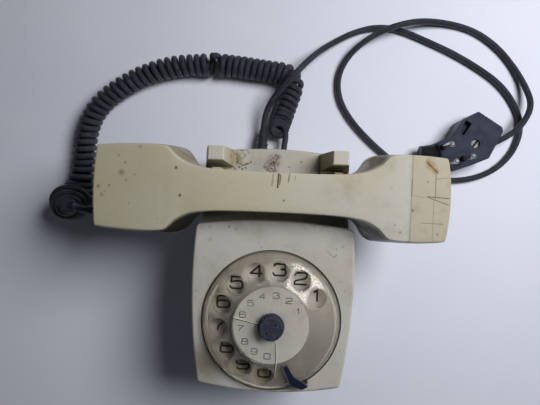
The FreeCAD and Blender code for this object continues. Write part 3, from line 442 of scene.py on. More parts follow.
TAPE_EDGES = [
    # from, to, width, strength
    ((79.4, 73.0, 91), (79.4, 21.0, 91), 0.36, 0.35), ((79.4, 58.5, 91), (79.4, 49.5, 91), 0.5, 0.5),
    ((94.0, 63.0, 90), (94.0, 48.5, 90), 0.55, 0.6), ((93.2, 48.0, 90), (93.6, 22.5, 90), 0.4, 0.4),
    ((94.2, 59.8, 90), (100.6, 60.8, 89), 0.4, 0.5), ((89.0, 49.2, 90), (102.8, 48.6, 89), 0.55, 0.75),
    ((89.5, 48.8, 90), (102.6, 44.8, 89), 0.5, 0.7), ((86.0, 33.4, 90), (99.6, 33.2, 89), 0.45, 0.55),
    ((79.6, 49.4, 91), (88.0, 48.6, 90), 0.4, 0.4),
]
GLUE_STAINS = [(90.6, 67.6, 4.4, 0.8), (93.6, 64.6, 3.2, 0.9), (88.8, 69.8, 2.8, 0.7)]
HANDSET_SPECKS = [
    # x, y, radius, strength
    (-60.0, 59.5, 1.0, 0.95), (-57.0, 43.4, 1.0, 0.9), (-93.0, 55.6, 2.0, 0.5), (-95.2, 65.5, 0.7, 0.7),
    (-91.0, 61.5, 1.0, 0.5), (-85.0, 54.5, 0.6, 0.6), (-90.0, 51.0, 1.1, 0.4), (-100.4, 47.5, 0.8, 0.85),
    (-107.2, 46.6, 1.3, 0.6), (-104.8, 41.8, 1.4, 0.4), (-102.8, 43.6, 0.8, 0.5), (-82.4, 71.2, 1.2, 0.4),
    (-87.8, 37.4, 0.8, 0.3), (-70.0, 29.2, 0.5, 0.5), (-12.0, 38.0, 0.5, 0.6), (4.0, 42.9, 0.8, 0.85),
    (-28.0, 52.0, 0.5, 0.4), (38.0, 46.0, 0.5, 0.4), (80.5, 40.6, 0.9, 0.7), (89.0, 58.0, 0.8, 0.5),
    (70.0, 31.4, 0.8, 0.45), (73.6, 27.4, 0.9, 0.45), (67.0, 53.0, 0.7, 0.3), (96.6, 27.0, 1.0, 0.5),
]
DRIPS = [
    # x, upper y, lower y, width, strength
    (-2.9, 58.0, 51.4, 0.7, 0.35), (0.4, 58.2, 50.6, 0.9, 0.8), (1.6, 58.0, 52.2, 0.5, 0.7),
    (6.6, 58.4, 54.0, 0.7, 0.5), (10.2, 57.8, 55.2, 0.5, 0.4),
]
# Marks on the flares: the upper two are stains; the lower two are painted shade on the slopes facing away
# from the light.
FLARE_STAINS_AND_SHADE = [
    # x, y of the mark's middle, colour
    (-60.0, 76.0, shade(126, 119, 88)), (54.0, 76.0, shade(112, 100, 62)),
    (-58.0, 19.0, shade(58, 53, 38)), (54.0, 19.0, shade(62, 56, 38)),
]
FLARE_AMBER = [(51.0, 66.0, 6.0), (60.0, 70.5, 4.0), (-54.0, 66.0, 4.0)]
RUST_PATCH = [
    (-3.0, 68.6, 7.5, 1.0), (-4.0, 63.0, 6.0, 1.0), (-1.0, 73.0, 4.2, 0.9), (-7.5, 66.0, 3.4, 0.8),
]
SPILL_EDGE = [(-32.0, 76.0), (-28.4, 73.6), (-29.0, 70.0), (-27.2, 67.4), (-23.6, 66.0), (-19.5, 67.4)]
DECK_SPECKS = [
    (-26.0, 64.6, 1.1), (-23.8, 63.4, 0.9), (-21.8, 64.4, 0.8), (-18.2, 68.2, 0.8), (-28.6, 66.2, 0.7),
    (8.0, 66.0, 0.6), (16.0, 70.0, 0.7), (22.5, 63.0, 0.5),
]
FACE_SPECKS = [
    (-29.0, 25.2, 1.0, 0.5), (-24.6, 23.8, 0.8, 0.5), (-41.0, 24.6, 1.0, 0.35), (-40.6, 16.6, 1.1, 0.35),
    (-8.0, 12.8, 0.6, 0.5), (39.0, 14.2, 0.8, 0.4), (43.0, 15.4, 0.7, 0.5), (-48.0, 4.6, 0.8, 0.4),
    (-47.6, -16.0, 0.8, 0.35), (45.6, -12.0, 0.7, 0.4), (44.0, -50.0, 0.8, 0.35), (-42.0, -66.0, 1.0, 0.3),
]
SQUIGGLE = [(33.2, 12.6), (35.4, 10.4), (37.4, 9.2), (39.4, 10.4), (38.2, 8.2)]
SPECK_SPREAD = 1.5
FLAT = (1, 1, 0.2)


def paint_tape(paint):
    """Old tape round the handset's right end, with its torn edges and the glue's stain."""
    tape = paint.span(paint.axis("X"), at(79.2, 0, 0).x, at(79.6, 0, 0).x)
    paint.layer(paint.sums("MULTIPLY", tape, 0.8), shade(165, 158, 139))
    mottled = paint.span(paint.noise(150, 5), 0.48, 0.7, 0.0, 0.35)
    paint.layer(paint.sums("MULTIPLY", tape, mottled), shade(146, 134, 104))
    for start, end, width, strength in TAPE_EDGES:
        paint.scratch(start, end, width, shade(70, 60, 44), strength, 0.25)
    for x, y, radius, strength in GLUE_STAINS:
        paint.spot(x, y, TAPE_TOP + 0.5, radius, AMBER, strength, 2.0, (1, 1, 0.3))
    paint.scratch((88.0, 69.6, TAPE_TOP), (95.2, 63.6, TAPE_TOP), 0.8, shade(86, 66, 40), 0.8, 0.8)


def paint_flares(paint):
    """Stains and amber on the upper slopes where the handset's neck widens into its heads, and painted
    shade on the lower slopes.
    """
    below = paint.span(paint.axis("Z"), 0.0865, 0.0915, 1.0, 0.0)
    for x, y, colour in FLARE_STAINS_AND_SHADE:
        flare = paint.span(paint.near(at(x, y, 76), 0.030, (1, 1, 0)), 0.08, 0.40)
        paint.layer(paint.sums("MULTIPLY", flare, below), colour)
    for x, y, radius in FLARE_AMBER:
        paint.spot(x, y, 80, radius, AMBER, 1.0, 3.0, (1, 1, 0.4))


def handset_paint():
    """Plastic, yellower to the left, with specks, drips on the neck and tape on the right end."""
    paint = old_plastic("handset_plastic", HANDSET_COLOUR, HANDSET_WARM, GRIME_AND_SHADE, 0.36)
    paint.layer(paint.sums("MULTIPLY", paint.span(paint.axis("X"), -0.02, 0.06, 0.75, 0.0),
                           paint.span(paint.noise(12, 3), 0.2, 0.6, 0.5, 1.0)), shade(184, 178, 148))
    # Pale edges: partly wear, partly a painted highlight along the handset's edges.
    paint.layer(paint.sums("MULTIPLY", paint.edges(0.0011), 0.75), shade(220, 216, 202))
    paint_tape(paint)
    for x, y, radius, strength in HANDSET_SPECKS:
        paint.spot(x, y, HANDSET_TOP, radius * SPECK_SPREAD, DARK, strength, 0.4, (1, 1, 0.1))
    for x, top, low, width, strength in DRIPS:
        paint.scratch((x, top, NECK_TOP), (x - 0.4, low, NECK_TOP), width * 1.1, shade(84, 54, 38),
                      min(1.0, strength * 1.2), 0.7)
    paint_flares(paint)
    return paint


def paint_deck(paint):
    """Rust, a dried spill and specks on the deck behind the handset."""
    for x, y, radius, strength in RUST_PATCH:
        place = paint.place
        paint.place = paint.ragged(4.0 * MM, 240)
        near = paint.near(at(x, y, DECK_TOP), radius * MM, FLAT)
        paint.place = place
        broken = paint.span(paint.noise(620, 5, 0.7), 0.42, 0.54, 0.15, 1.0)
        paint.layer(paint.sums("MULTIPLY", paint.sums("MULTIPLY", near, broken), strength), RUST)
    for start, end in zip(SPILL_EDGE, SPILL_EDGE[1:]):
        paint.scratch((*start, DECK_TOP), (*end, DECK_TOP), 0.8, shade(84, 64, 38), 0.85, 1.4)
    paint.spot(-28.0, 71.0, DECK_TOP, 7.0, shade(140, 122, 78), 0.7, 3.0, (1, 1, 0.3))
    spilt = paint.near(at(-26.0, 71.0, DECK_TOP), 0.013, (1, 1, 0.3))
    paint.layer(paint.sums("MULTIPLY", spilt, paint.outlines(210, 0.04)), shade(62, 46, 30))


def housing_paint():
    """Greyer plastic, with a marked deck behind the handset and a painted shadow of the dial low on the
    left of its face.
    """
    paint = old_plastic("housing_plastic", HOUSING_COLOUR, HOUSING_WARM, GRIME_AND_SHADE)
    # Pale edges: partly wear, partly a painted highlight along the housing's edges.
    paint.layer(paint.sums("MULTIPLY", paint.edges(0.0010), 0.6), shade(212, 211, 203))
    paint_deck(paint)
    # Painted shadow: the dial's shadow laid dark on the face, low on its left.
    paint.spot(-38.0, -60.0, FACE_TOP, 22.0, shade(88, 84, 70), 0.85, 6.0, (1, 1, 0.3))
    for x, y, radius in DECK_SPECKS:
        paint.spot(x, y, DECK_TOP, radius * SPECK_SPREAD, DARK, 0.8, 0.5, FLAT)
    for x, y, radius, strength in FACE_SPECKS:
        paint.spot(x, y, FACE_TOP, radius * SPECK_SPREAD, shade(78, 66, 48), strength, 0.6, FLAT)
    for start, end in zip(SQUIGGLE, SQUIGGLE[1:]):
        paint.scratch((*start, FACE_TOP), (*end, FACE_TOP), 0.5, shade(112, 100, 78), 0.5, 0.8)
    return paint


def arm_paint():
    """The cradle's horns: olive, the left horn painted lighter than the right as painted light and shade,
    painted light on the tips, and the spill's edge on the left one.
    """
    paint = old_plastic("cradle_plastic", shade(166, 159, 130), shade(148, 140, 104), shade(80, 70, 44))
    spilt = paint.near(at(-29.0, 70.0, 62), 0.014)
    # Painted light: the left horn, whose side faces the light, is painted lighter than the shaded right
    # one.
    paint.layer(paint.span(paint.axis("X"), 0.0, 0.001, 0.85, 0.0), shade(176, 173, 156))
    paint.layer(paint.sums("MULTIPLY", spilt, 0.7), shade(148, 130, 84))
    paint.layer(paint.sums("MULTIPLY", spilt, paint.outlines(170, 0.03)), shade(70, 52, 34))
    # Painted light: the horns' tops painted lighter where the light falls on them.
    paint.layer(paint.span(paint.axis("Z"), *HORN_TIP), shade(182, 180, 170))
    return paint


def metal(name, colour, roughness, brushed=400):
    paint = Paint(name, colour, roughness, Metallic=1.0)
    paint.rough(paint.span(paint.noise(brushed, 4), 0.3, 0.7, roughness - 0.08, roughness + 0.15))
    paint.layer(paint.sums("MULTIPLY", paint.span(paint.noise(120, 5), 0.5, 0.8), 0.4), shade(70, 62, 50))
    return paint


def rubber(name, colour, dust, worn=(104, 108, 112)):
    """Soft dark sheath, greyed by dust and handling."""
    paint = Paint(name, colour, 0.5)
    paint.layer(paint.span(paint.noise(60, 5), 0.4, 0.75, 0.0, 0.6), dust)
    paint.layer(paint.span(paint.noise(700, 4), 0.54, 0.78, 0.0, 0.45), shade(*worn))
    paint.rough(paint.span(paint.noise(200, 4), 0.3, 0.7, 0.38, 0.62))
    paint.bump(paint.noise(900, 3), 0.00005, 0.4)
    return paint


def clear_paint(name, dust):
    """Scratched clear plastic; a share of it stays pale and cloudy."""
    paint = Paint(name, shade(248, 246, 238), 0.06, IOR=1.49, Transmission_Weight=1.0 - dust)
    scratches = paint.noise(260, 5, stretch=(1, 3.2, 1))
    paint.rough(paint.span(scratches, 0.42, 0.75, 0.04, 0.26))
    paint.layer(paint.span(paint.noise(70, 5, 0.6), 0.5, 0.74, 0.0, 0.35), shade(200, 194, 180))
    return paint


def blued_paint():
    paint = Paint("blued_steel", shade(60, 64, 80), 0.32, Metallic=0.3)
    paint.layer(paint.span(paint.noise(300, 5, 0.65), 0.56, 0.72, 0.0, 0.7), shade(104, 100, 104))
    # Pale edges: partly wear, partly a painted highlight round the hub's rim.
    paint.layer(paint.sums("MULTIPLY", paint.edges(0.0005), 0.7), shade(150, 142, 138))
    paint.layer(paint.span(paint.noise(140, 4), 0.60, 0.75, 0.0, 0.6), shade(74, 52, 44))
    paint.rough(paint.span(paint.noise(240, 4), 0.3, 0.7, 0.24, 0.46))
    return paint


def stop_paint():
    paint = Paint("stop_lacquer", shade(34, 38, 62), 0.28, Metallic=0.25)
    # Pale edges: a painted highlight, glinting along the stop's edges.
    paint.layer(paint.sums("MULTIPLY", paint.edges(0.0006), 0.85), shade(196, 198, 210))
    paint.layer(paint.span(paint.noise(260, 5), 0.58, 0.74, 0.0, 0.5), shade(74, 76, 96))
    return paint


def pin_paint():
    paint = Paint("plug_pin_metal", shade(206, 206, 208), 0.22, Metallic=0.9)
    paint.layer(paint.span(paint.noise(240, 4), 0.45, 0.7, 0.0, 0.5), shade(120, 114, 104))
    # Painted shade: the pins are painted dark low down, at their bases.
    paint.layer(paint.span(paint.axis("Z"), 0.0195, 0.0240, 1.0, 0.0), shade(34, 34, 38))
    return paint


def card_paint():
    paint = Paint("label_card", shade(226, 228, 236), 0.7)
    paint.layer(paint.span(paint.noise(60, 5), 0.42, 0.7, 0.0, 0.6), shade(212, 211, 208))
    paint.layer(paint.span(paint.noise(190, 5), 0.55, 0.75, 0.0, 0.4), shade(176, 170, 146))
    paint.bump(paint.noise(1200, 3), 0.00003, 0.3)
    return paint


PLATE_PATCHES = [
    # x, y, radius, colour, strength, how far its outline wanders
    (-16.0, -62.0, 26.0, shade(134, 122, 92), 0.7, 14.0),
    (-4.0, -70.0, 16.0, shade(120, 104, 76), 0.65, 8.0),
    (-34.0, -20.0, 18.0, shade(136, 124, 94), 0.5, 9.0),
    # Darker grey patches, to the right and low down.
    (30.0, -50.0, 34.0, shade(122, 116, 112), 1.0, 8.0),
    (8.0, -68.0, 18.0, shade(108, 102, 92), 0.8, 8.0),
]


def plate_paint():
    """Number plate, stained brown low on its left, and darker grey to its right and low down."""
    paint = old_plastic("number_plate_plastic", shade(180, 175, 170), shade(168, 161, 148),
                        shade(120, 106, 78))
    for x, y, radius, colour, strength, ragged in PLATE_PATCHES:
        paint.spot(x, y, FACE_TOP, radius, colour, strength, ragged, FLAT)
    return paint


def floor_paint():
    paint = Paint("pale_floor", shade(216, 220, 234), 0.85)
    paint.layer(paint.span(paint.noise(6, 3), 0.35, 0.7, 0.0, 0.6), shade(208, 213, 229))
    paint.bump(paint.noise(9, 3, bend=0.6), 0.002, 0.12)
    return paint


PAINTS = {}


def make_paints():
    PAINTS["housing"] = housing_paint()
    PAINTS["handset"] = handset_paint()
    PAINTS["caps"] = old_plastic("cap_plastic", HANDSET_COLOUR, HANDSET_WARM, GRIME_AND_SHADE, 0.36)
    PAINTS["arms"] = arm_paint()
    PAINTS["inside"] = old_plastic("cup_plastic", shade(120, 116, 104), shade(104, 98, 82),
                                   shade(60, 54, 40))
    PAINTS["plate"] = plate_paint()
    PAINTS["card"] = card_paint()
    PAINTS["blued"] = blued_paint()
    PAINTS["stop"] = stop_paint()
    PAINTS["zinc"] = metal("zinc_steel", shade(176, 174, 166), 0.38)
    PAINTS["spring"] = metal("spring_steel", shade(120, 122, 130), 0.35)
    PAINTS["brass"] = metal("brass", shade(188, 158, 88), 0.3)
    PAINTS["nickel"] = metal("plug_screw_metal", shade(222, 222, 224), 0.3)
    # Painted shade: the screw's slot drawn as a dark line across its head.
    PAINTS["nickel"].scratch((149.7, 91.2, 16.6), (153.3, 96.0, 16.6), 1.3, shade(14, 14, 18))
    PAINTS["pins"] = pin_paint()
    PAINTS["black"] = old_plastic("black_plastic", shade(36, 36, 40), shade(30, 30, 32), shade(60, 56, 50))
    PAINTS["board"] = old_plastic("board_laminate", shade(140, 96, 52), shade(122, 80, 40),
                                  shade(60, 40, 22))
    PAINTS["copper"] = metal("copper_winding", shade(168, 96, 56), 0.4)
    PAINTS["can"] = metal("capacitor_can", shade(190, 190, 194), 0.35)
    PAINTS["capsule"] = metal("capsule_metal", shade(160, 160, 160), 0.4)
    PAINTS["pads"] = rubber("pad_rubber", shade(40, 40, 42), shade(60, 60, 60))
    PAINTS["cord"] = rubber("cord_sheath", shade(40, 44, 51), shade(58, 63, 71), (104, 110, 117))
    PAINTS["plug"] = rubber("plug_plastic", shade(44, 48, 63), shade(54, 58, 73), (84, 88, 99))
    PAINTS["plug_cap"] = rubber("plug_cap_rubber", shade(22, 25, 31), shade(34, 38, 42), (62, 67, 70))
    PAINTS["clear"] = clear_paint("clear_plastic", 0.10)
    PAINTS["window"] = clear_paint("label_window_plastic", 0.08)


SLOT_PAINT = {
    "housing_plastic": "housing", "handset_plastic": "handset", "number_plate_plastic": "plate",
    "clear_plastic": "clear", "label_card": "card", "blued_steel": "blued", "zinc_steel": "zinc",
    "spring_steel": "spring", "brass": "brass", "plug_screw_metal": "nickel", "black_plastic": "black",
    "board_laminate": "board", "copper_winding": "copper", "capacitor_can": "can",
    "capsule_metal": "capsule", "pad_rubber": "pads", "cord_sheath": "cord", "plug_plastic": "plug",
}
NODE_PAINT = {
    "cradle_arm_left": "arms", "cradle_arm_right": "arms", "finger_stop": "stop", "plug_pins": "pins",
    "plug_cap": "plug_cap", "ear_cap": "caps", "mouth_cap": "caps", "dial_cup": "inside",
}


def paint_frame():
    """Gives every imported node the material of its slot, or one of its own."""
    for part in frame["record"]["subparts"]:
        paint = NODE_PAINT.get(part["node"], SLOT_PAINT[part["material_slot"]])
        data = NODES[part["node"]].data
        data.materials.clear()
        data.materials.append(PAINTS[paint].material)


# ---------------------------------------------------------------- cords
LINE_DIAMETER = 0.0046
LINE_ROUTE = [
    (-0.0087, 0.0980, 0.0090), (-0.0082, 0.1090, 0.0110), (-0.0027, 0.1210, 0.0160),
    (0.0083, 0.1330, 0.0225), (0.0203, 0.1470, 0.0225), (0.0313, 0.1600, 0.0140),
    (0.0453, 0.1720, 0.0050), (0.0613, 0.1815, 0.0026), (0.0793, 0.1865, 0.0024),
    (0.0983, 0.1845, 0.0026), (0.1183, 0.1770, 0.0024), (0.1403, 0.1680, 0.0026),
    (0.1613, 0.1570, 0.0024), (0.1793, 0.1450, 0.0026), (0.1923, 0.1290, 0.0024),
    (0.1983, 0.1110, 0.0026), (0.1933, 0.0920, 0.0024), (0.1803, 0.0770, 0.0026),
    (0.1623, 0.0680, 0.0024), (0.1413, 0.0650, 0.0026), (0.1213, 0.0665, 0.0024),
    (0.1043, 0.0730, 0.0026), (0.0893, 0.0840, 0.0024), (0.0743, 0.0965, 0.0026),
    (0.0603, 0.1110, 0.0024), (0.0508, 0.1270, 0.0026), (0.0488, 0.1440, 0.0024),
    (0.0553, 0.1600, 0.0040), (0.0673, 0.1720, 0.0080), (0.0833, 0.1810, 0.0118),
    (0.1023, 0.1875, 0.0118), (0.1203, 0.1915, 0.0060), (0.1403, 0.1910, 0.0026),
    (0.1583, 0.1860, 0.0024), (0.1753, 0.1750, 0.0026), (0.1893, 0.1600, 0.0024),
    (0.1988, 0.1430, 0.0050), (0.2008, 0.1260, 0.0118), (0.1928, 0.1100, 0.0122),
    (0.1823, 0.1010, 0.0110), (0.1738, 0.0965, 0.0090),
]
CURLY_DIAMETER = 0.0048
CURLY_EXIT = (0.0083, 0.0820, 0.0100)
COIL_ROUTE = [
    (0.0033, 0.0975, 0.0090), (0.0058, 0.1067, 0.0086), (0.0086, 0.1167, 0.0086),
    (0.0119, 0.1267, 0.0086), (0.0140, 0.1362, 0.0086), (0.0100, 0.1424, 0.0086),
    (0.0020, 0.1442, 0.0086), (-0.0110, 0.1452, 0.0086), (-0.0320, 0.1477, 0.0086),
    (-0.0574, 0.1478, 0.0086), (-0.0799, 0.1457, 0.0086), (-0.1021, 0.1384, 0.0086),
    (-0.1227, 0.1262, 0.0086), (-0.1377, 0.1133, 0.0086), (-0.1461, 0.0970, 0.0086),
    (-0.1481, 0.0785, 0.0086), (-0.1485, 0.0580, 0.0086), (-0.1510, 0.0445, 0.0105),
    (-0.1512, 0.0350, 0.0220), (-0.1470, 0.0312, 0.0370), (-0.1378, 0.0322, 0.0530),
]
END_ROUTE = [(-0.1305, 0.0318, 0.0568), (-0.1262, 0.0314, 0.0582), (-0.1205, 0.0311, 0.0600)]
ROUTE_STEP = 0.00016
COIL_RADIUS = 0.0061
CLIMB_GROWTH = 0.0060
TIGHT_PITCH = 0.00486
LOOSE_PITCH = 0.0056
LEAN = 7
RING_LEAN = 74.0
CLIMB_LEAN = 9
WOBBLE = 0.0003
KINK_AT = 0.106
KINK_WIDTH = 0.0050
KINK_BULGE = 0.0010
TUBE_STEP = 0.0009
TUBE_SIDES = 12
# Distances from the route's start where the ring fades, and from its end where the turns widen and close.
RING_FADES = (0.003, 0.016)
CLIMB_WIDENS = (0.070, 0.030)
END_CLOSES = (0.034, 0.002)


def make_line_cord():
    cord = nurbs("line_flex", LINE_ROUTE)
    cord.data.bevel_depth = LINE_DIAMETER / 2
    cord.data.bevel_resolution = 5
    cord.data.use_fill_caps = True
    cord.data.materials.append(PAINTS["cord"].material)
    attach(cord, "base")
    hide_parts("line_cord")


def curly_line():
    """Centre line of the curly cord: a helix round its route, with a loose ring at the phone's end,
    a turn where it changes hand, and wide turns where it climbs to the handset."""
    route = evenly(line_of(COIL_ROUTE), ROUTE_STEP)
    step = (route[1] - route[0]).length
    length = step * (len(route) - 1)
    line = []
    side = (route[1] - route[0]).normalized().cross(Vector((0, 0, 1))).normalized()
    angle = math.radians(90)
    for k, place in enumerate(route):
        walked = step * k
        ahead = (route[min(k + 1, len(route) - 1)] - route[max(k - 1, 0)]).normalized()
        side = (side - ahead * side.dot(ahead)).normalized()
        up = side.cross(ahead)
        ring = 1 - smooth_step(walked, *RING_FADES)
        climb = smooth_step(walked, length - CLIMB_WIDENS[0], length - CLIMB_WIDENS[1])
        end = smooth_step(walked, length - END_CLOSES[0], length - END_CLOSES[1])
        wobble = noise.noise(Vector((walked * 90, 3.1, 0))) * WOBBLE
        radius = COIL_RADIUS + wobble - 0.0006 * ring + (CLIMB_GROWTH + 9 * wobble) * climb
        radius *= 1 - 0.78 * end
        sway = (9 + 40 * climb) * noise.noise(Vector((walked * 60, 0, 7)))
        lean = math.radians(LEAN + RING_LEAN * ring + CLIMB_LEAN * climb + sway)
        kink = (walked - KINK_AT) / KINK_WIDTH
        loose = smooth_step(walked, KINK_AT, KINK_AT + 0.02)
        pitch = TIGHT_PITCH + (LOOSE_PITCH - TIGHT_PITCH) * loose + 0.0014 * climb
        pitch *= (1 - 0.35 * ring) * (1 + 0.5 * end)
        angle += math.tanh(kink) * 2 * math.pi * step / pitch
        radius += KINK_BULGE * math.exp(-kink * kink * 0.3)
        spot = (place + side * math.sin(angle) * radius
                + up * math.cos(angle) * radius * math.cos(lean)
                + ahead * math.cos(angle) * radius * math.sin(lean))
        spot.z = max(spot.z, CURLY_DIAMETER / 2)
        line.append(spot)
    return line


def make_curly_cord():
    coil = curly_line()
    into = (coil[1] - coil[0]).normalized()
    start = line_of([CURLY_EXIT, (0.0083, 0.0865, 0.0097), tuple(coil[0] - into * 0.004), tuple(coil[0])])
    out = (coil[-1] - coil[-2]).normalized()
    end = line_of([tuple(coil[-1]), tuple(coil[-1] + out * 0.003)] + END_ROUTE)
    line = evenly(start[:-1] + coil + end[1:], TUBE_STEP)
    vertices, faces = tube(line, CURLY_DIAMETER / 2, TUBE_SIDES)
    cord = piece_from("curly_flex", vertices, faces, PAINTS["cord"].material)
    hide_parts("curly_tail", "curly_coil", "curly_rise", "handset_tail")
    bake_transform(cord)


# ---------------------------------------------------------------- handset
# Distance from the housing's centre line, half-width of the back, half-width below, height of the
# back, height of the underside, in millimetres.
SHELL_SECTIONS = [
    (0.0, 11.7, 11.8, 96.0, 72.5), (16.0, 11.8, 11.9, 95.8, 72.5), (30.0, 12.1, 12.2, 95.4, 72.5),
    (40.0, 12.6, 12.8, 95.0, 72.4), (46.0, 13.3, 14.2, 94.7, 71.6), (51.0, 14.2, 17.4, 94.3, 67.4),
    (55.0, 15.6, 21.6, 94.0, 60.0), (58.0, 17.2, 24.6, 93.8, 56.2), (61.0, 19.2, 26.4, 93.6, 56.0),
    (63.5, 21.8, 27.8, 93.4, 56.0), (65.4, 23.8, 28.6, 93.2, 56.0), (67.2, 24.9, 28.9, 93.0, 56.0),
    (70.0, 25.4, 29.1, 92.8, 56.0), (76.0, 25.8, 29.2, 92.2, 56.0), (84.0, 25.8, 29.2, 91.3, 56.0),
    (92.0, 25.6, 29.1, 90.4, 56.0), (100.0, 25.2, 28.8, 89.4, 56.0), (112.0, 24.4, 28.2, 88.0, 56.0),
]
SHELL_ENDS = {-1: 110.9, 1: 104.4}
SHELL_BOW = {-1: 1.5, 1: 2.4}
HANDSET_Y = 47.5
EDGE_R = 1.3
LOW_R = 1.6
TAPE_FROM = 79.4
TAPE_THICK = 0.12
SHELL_STEP = 1.5
END_ROUND = 1.4
END_HALF = 26.0
END_RISE = 17.0
END_MIDDLE_Z = 73.0
HOLLOWS = [
    # two opposite corners of each room inside the handset, in millimetres
    ((59.5, 24.5, 50), (100.5, 70.5, 62)), ((-106.0, 24.5, 50), (-62.5, 70.5, 62)),
    ((67.0, 24.6, 61), (100.4, 70.4, 82)), ((-105.9, 24.6, 61), (-67.5, 70.4, 82)),
    ((61.5, 31.5, 61.5), (67.5, 63.5, 81.5)), ((-68.0, 31.5, 61.5), (-62.0, 63.5, 81.5)),
    ((-62.5, 41.5, 76), (62.5, 53.5, 88)),
]


def shell_section(reach):
    """The sizes of the handset at a distance from the middle, eased between the listed ones."""
    rows = SHELL_SECTIONS
    k = max(n for n, row in enumerate(rows[:-1]) if row[0] <= reach)
    before, a, b, after = rows[max(k - 1, 0)], rows[k], rows[k + 1], rows[min(k + 2, len(rows) - 1)]
    span = b[0] - a[0]
    t = (reach - a[0]) / span
    sizes = []
    for n in range(1, 5):
        slope_a = (b[n] - before[n]) / (b[0] - before[0]) * span if k else 0.0
        slope_b = (after[n] - a[n]) / (after[0] - a[0]) * span
        sizes.append((2 * t ** 3 - 3 * t * t + 1) * a[n] + (t ** 3 - 2 * t * t + t) * slope_a
                     + (3 * t * t - 2 * t ** 3) * b[n] + (t ** 3 - t * t) * slope_b)
    return sizes


def shell_outline(reach, grow=0.0):
    """Points of one cross-section, from the middle of the back down one side and up the other."""
    top_half, low_half, top_z, low_z = shell_section(reach)
    top_half, low_half, top_z = top_half + grow, low_half + grow, top_z + grow
    crown = 0.5
    slope = Vector((low_half - top_half, low_z - top_z)).normalized()
    corner = Vector((top_half, top_z - crown))
    foot = Vector((low_half, low_z))
    side = []
    for share in (0.0, 0.25, 0.5, 0.75, 0.92):
        y = (top_half - EDGE_R) * share
        side.append(Vector((y, top_z - crown * (y / top_half) ** 2)))
    first, last = corner - Vector((EDGE_R, 0)), corner + slope * EDGE_R
    for n in range(6):
        t = n / 5
        side.append(first * (1 - t) ** 2 + corner * 2 * t * (1 - t) + last * t * t)
    outward = Vector((-slope.y, slope.x))
    upper, lower = last, foot - slope * LOW_R
    for share in (0.06, 0.3, 0.5, 0.7, 0.94):
        side.append(upper.lerp(lower, share) + outward * 0.35 * math.sin(math.pi * share))
    first, last = foot - slope * LOW_R, foot - Vector((LOW_R, 0))
    for n in range(4):
        t = n / 3
        side.append(first * (1 - t) ** 2 + foot * 2 * t * (1 - t) + last * t * t)
    for share in (0.9, 0.6, 0.3, 0.0):
        side.append(Vector(((low_half - LOW_R) * share, low_z)))
    return side + [Vector((-p.x, p.y)) for p in side[-2:0:-1]]


def shell_rows(side):
    """The cross-sections of one half of the handset, from its middle out to its closed end."""
    end = SHELL_ENDS[side]
    stops = [1.0 + SHELL_STEP * n for n in range(int((end - 3.0) / SHELL_STEP))]
    if side > 0:
        stops = [s for s in stops if abs(s - TAPE_FROM) > 0.5] + [TAPE_FROM - 0.15, TAPE_FROM + 0.05]
    made = []
    for reach in sorted(stops) + [end - END_ROUND]:
        grow = TAPE_THICK if side > 0 and reach > TAPE_FROM else 0.0
        made.append((side, reach, shell_outline(reach, grow)))

    def drawn_in(outline, across, along):
        return [Vector((p.x * across, END_MIDDLE_Z + (p.y - END_MIDDLE_Z) * along)) for p in outline]

    rim = made[-1][2]
    for n in range(1, 5):
        turn = math.pi / 2 * n / 4
        inset = END_ROUND * (1 - math.cos(turn))
        made.append((side, end - END_ROUND + END_ROUND * math.sin(turn),
                     drawn_in(rim, 1 - inset / END_HALF, 1 - inset / END_RISE)))
    last = made[-1][2]
    for share in (0.96, 0.75, 0.5, 0.25, 0.06):
        made.append((side, end, drawn_in(last, share, share)))
    return made


def make_handset_shell():
    """The handset's moulding: one lofted form with crisp edges, hollow in its heads and neck."""
    vertices, faces = [], []
    rows = shell_rows(-1)[::-1] + shell_rows(1)
    for side, reach, outline in rows:
        bow = SHELL_BOW[side] * smooth_step(reach, SHELL_ENDS[side] - 14.0, SHELL_ENDS[side])
        for p in outline:
            out = reach - bow * (p.x / END_HALF) ** 2
            vertices.append(at(side * out, HANDSET_Y + p.x, p.y))
    count = len(rows[0][2])
    for k in range(len(rows) - 1):
        for n in range(count):
            a, b = k * count + n, k * count + (n + 1) % count
            faces.append((a, b, b + count, a + count))
    faces.append(tuple(range(count))[::-1])
    faces.append(tuple(range((len(rows) - 1) * count, len(rows) * count)))
    shell = piece_from("handset_moulding", vertices, faces, PAINTS["handset"].material,
                       "handset")
    hollow(shell, [(at(*low), at(*high)) for low, high in HOLLOWS])
    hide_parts("handset_shell")


def hollow(piece, rooms):
    """Takes box-shaped rooms out of a closed piece."""
    cutters = []
    for low, high in rooms:
        corners = [(x, y, z) for x in (low.x, high.x) for y in (low.y, high.y) for z in (low.z, high.z)]
        sides = [(0, 1, 3, 2), (4, 6, 7, 5), (0, 4, 5, 1), (2, 3, 7, 6), (0, 2, 6, 4), (1, 5, 7, 3)]
        data = bpy.data.meshes.new("room")
        data.from_pydata(corners, [], sides)
        cutter = bpy.data.objects.new("room", data)
        bpy.context.scene.collection.objects.link(cutter)
        cutters.append(cutter)
        cut = piece.modifiers.new("room", "BOOLEAN")
        cut.operation = "DIFFERENCE"
        cut.object = cutter
        cut.solver = "EXACT"
    bpy.context.view_layer.update()
    shape = bpy.data.meshes.new_from_object(piece.evaluated_get(bpy.context.evaluated_depsgraph_get()))
    piece.modifiers.clear()
    piece.data = shape
    for cutter in cutters:
        bpy.data.objects.remove(cutter)


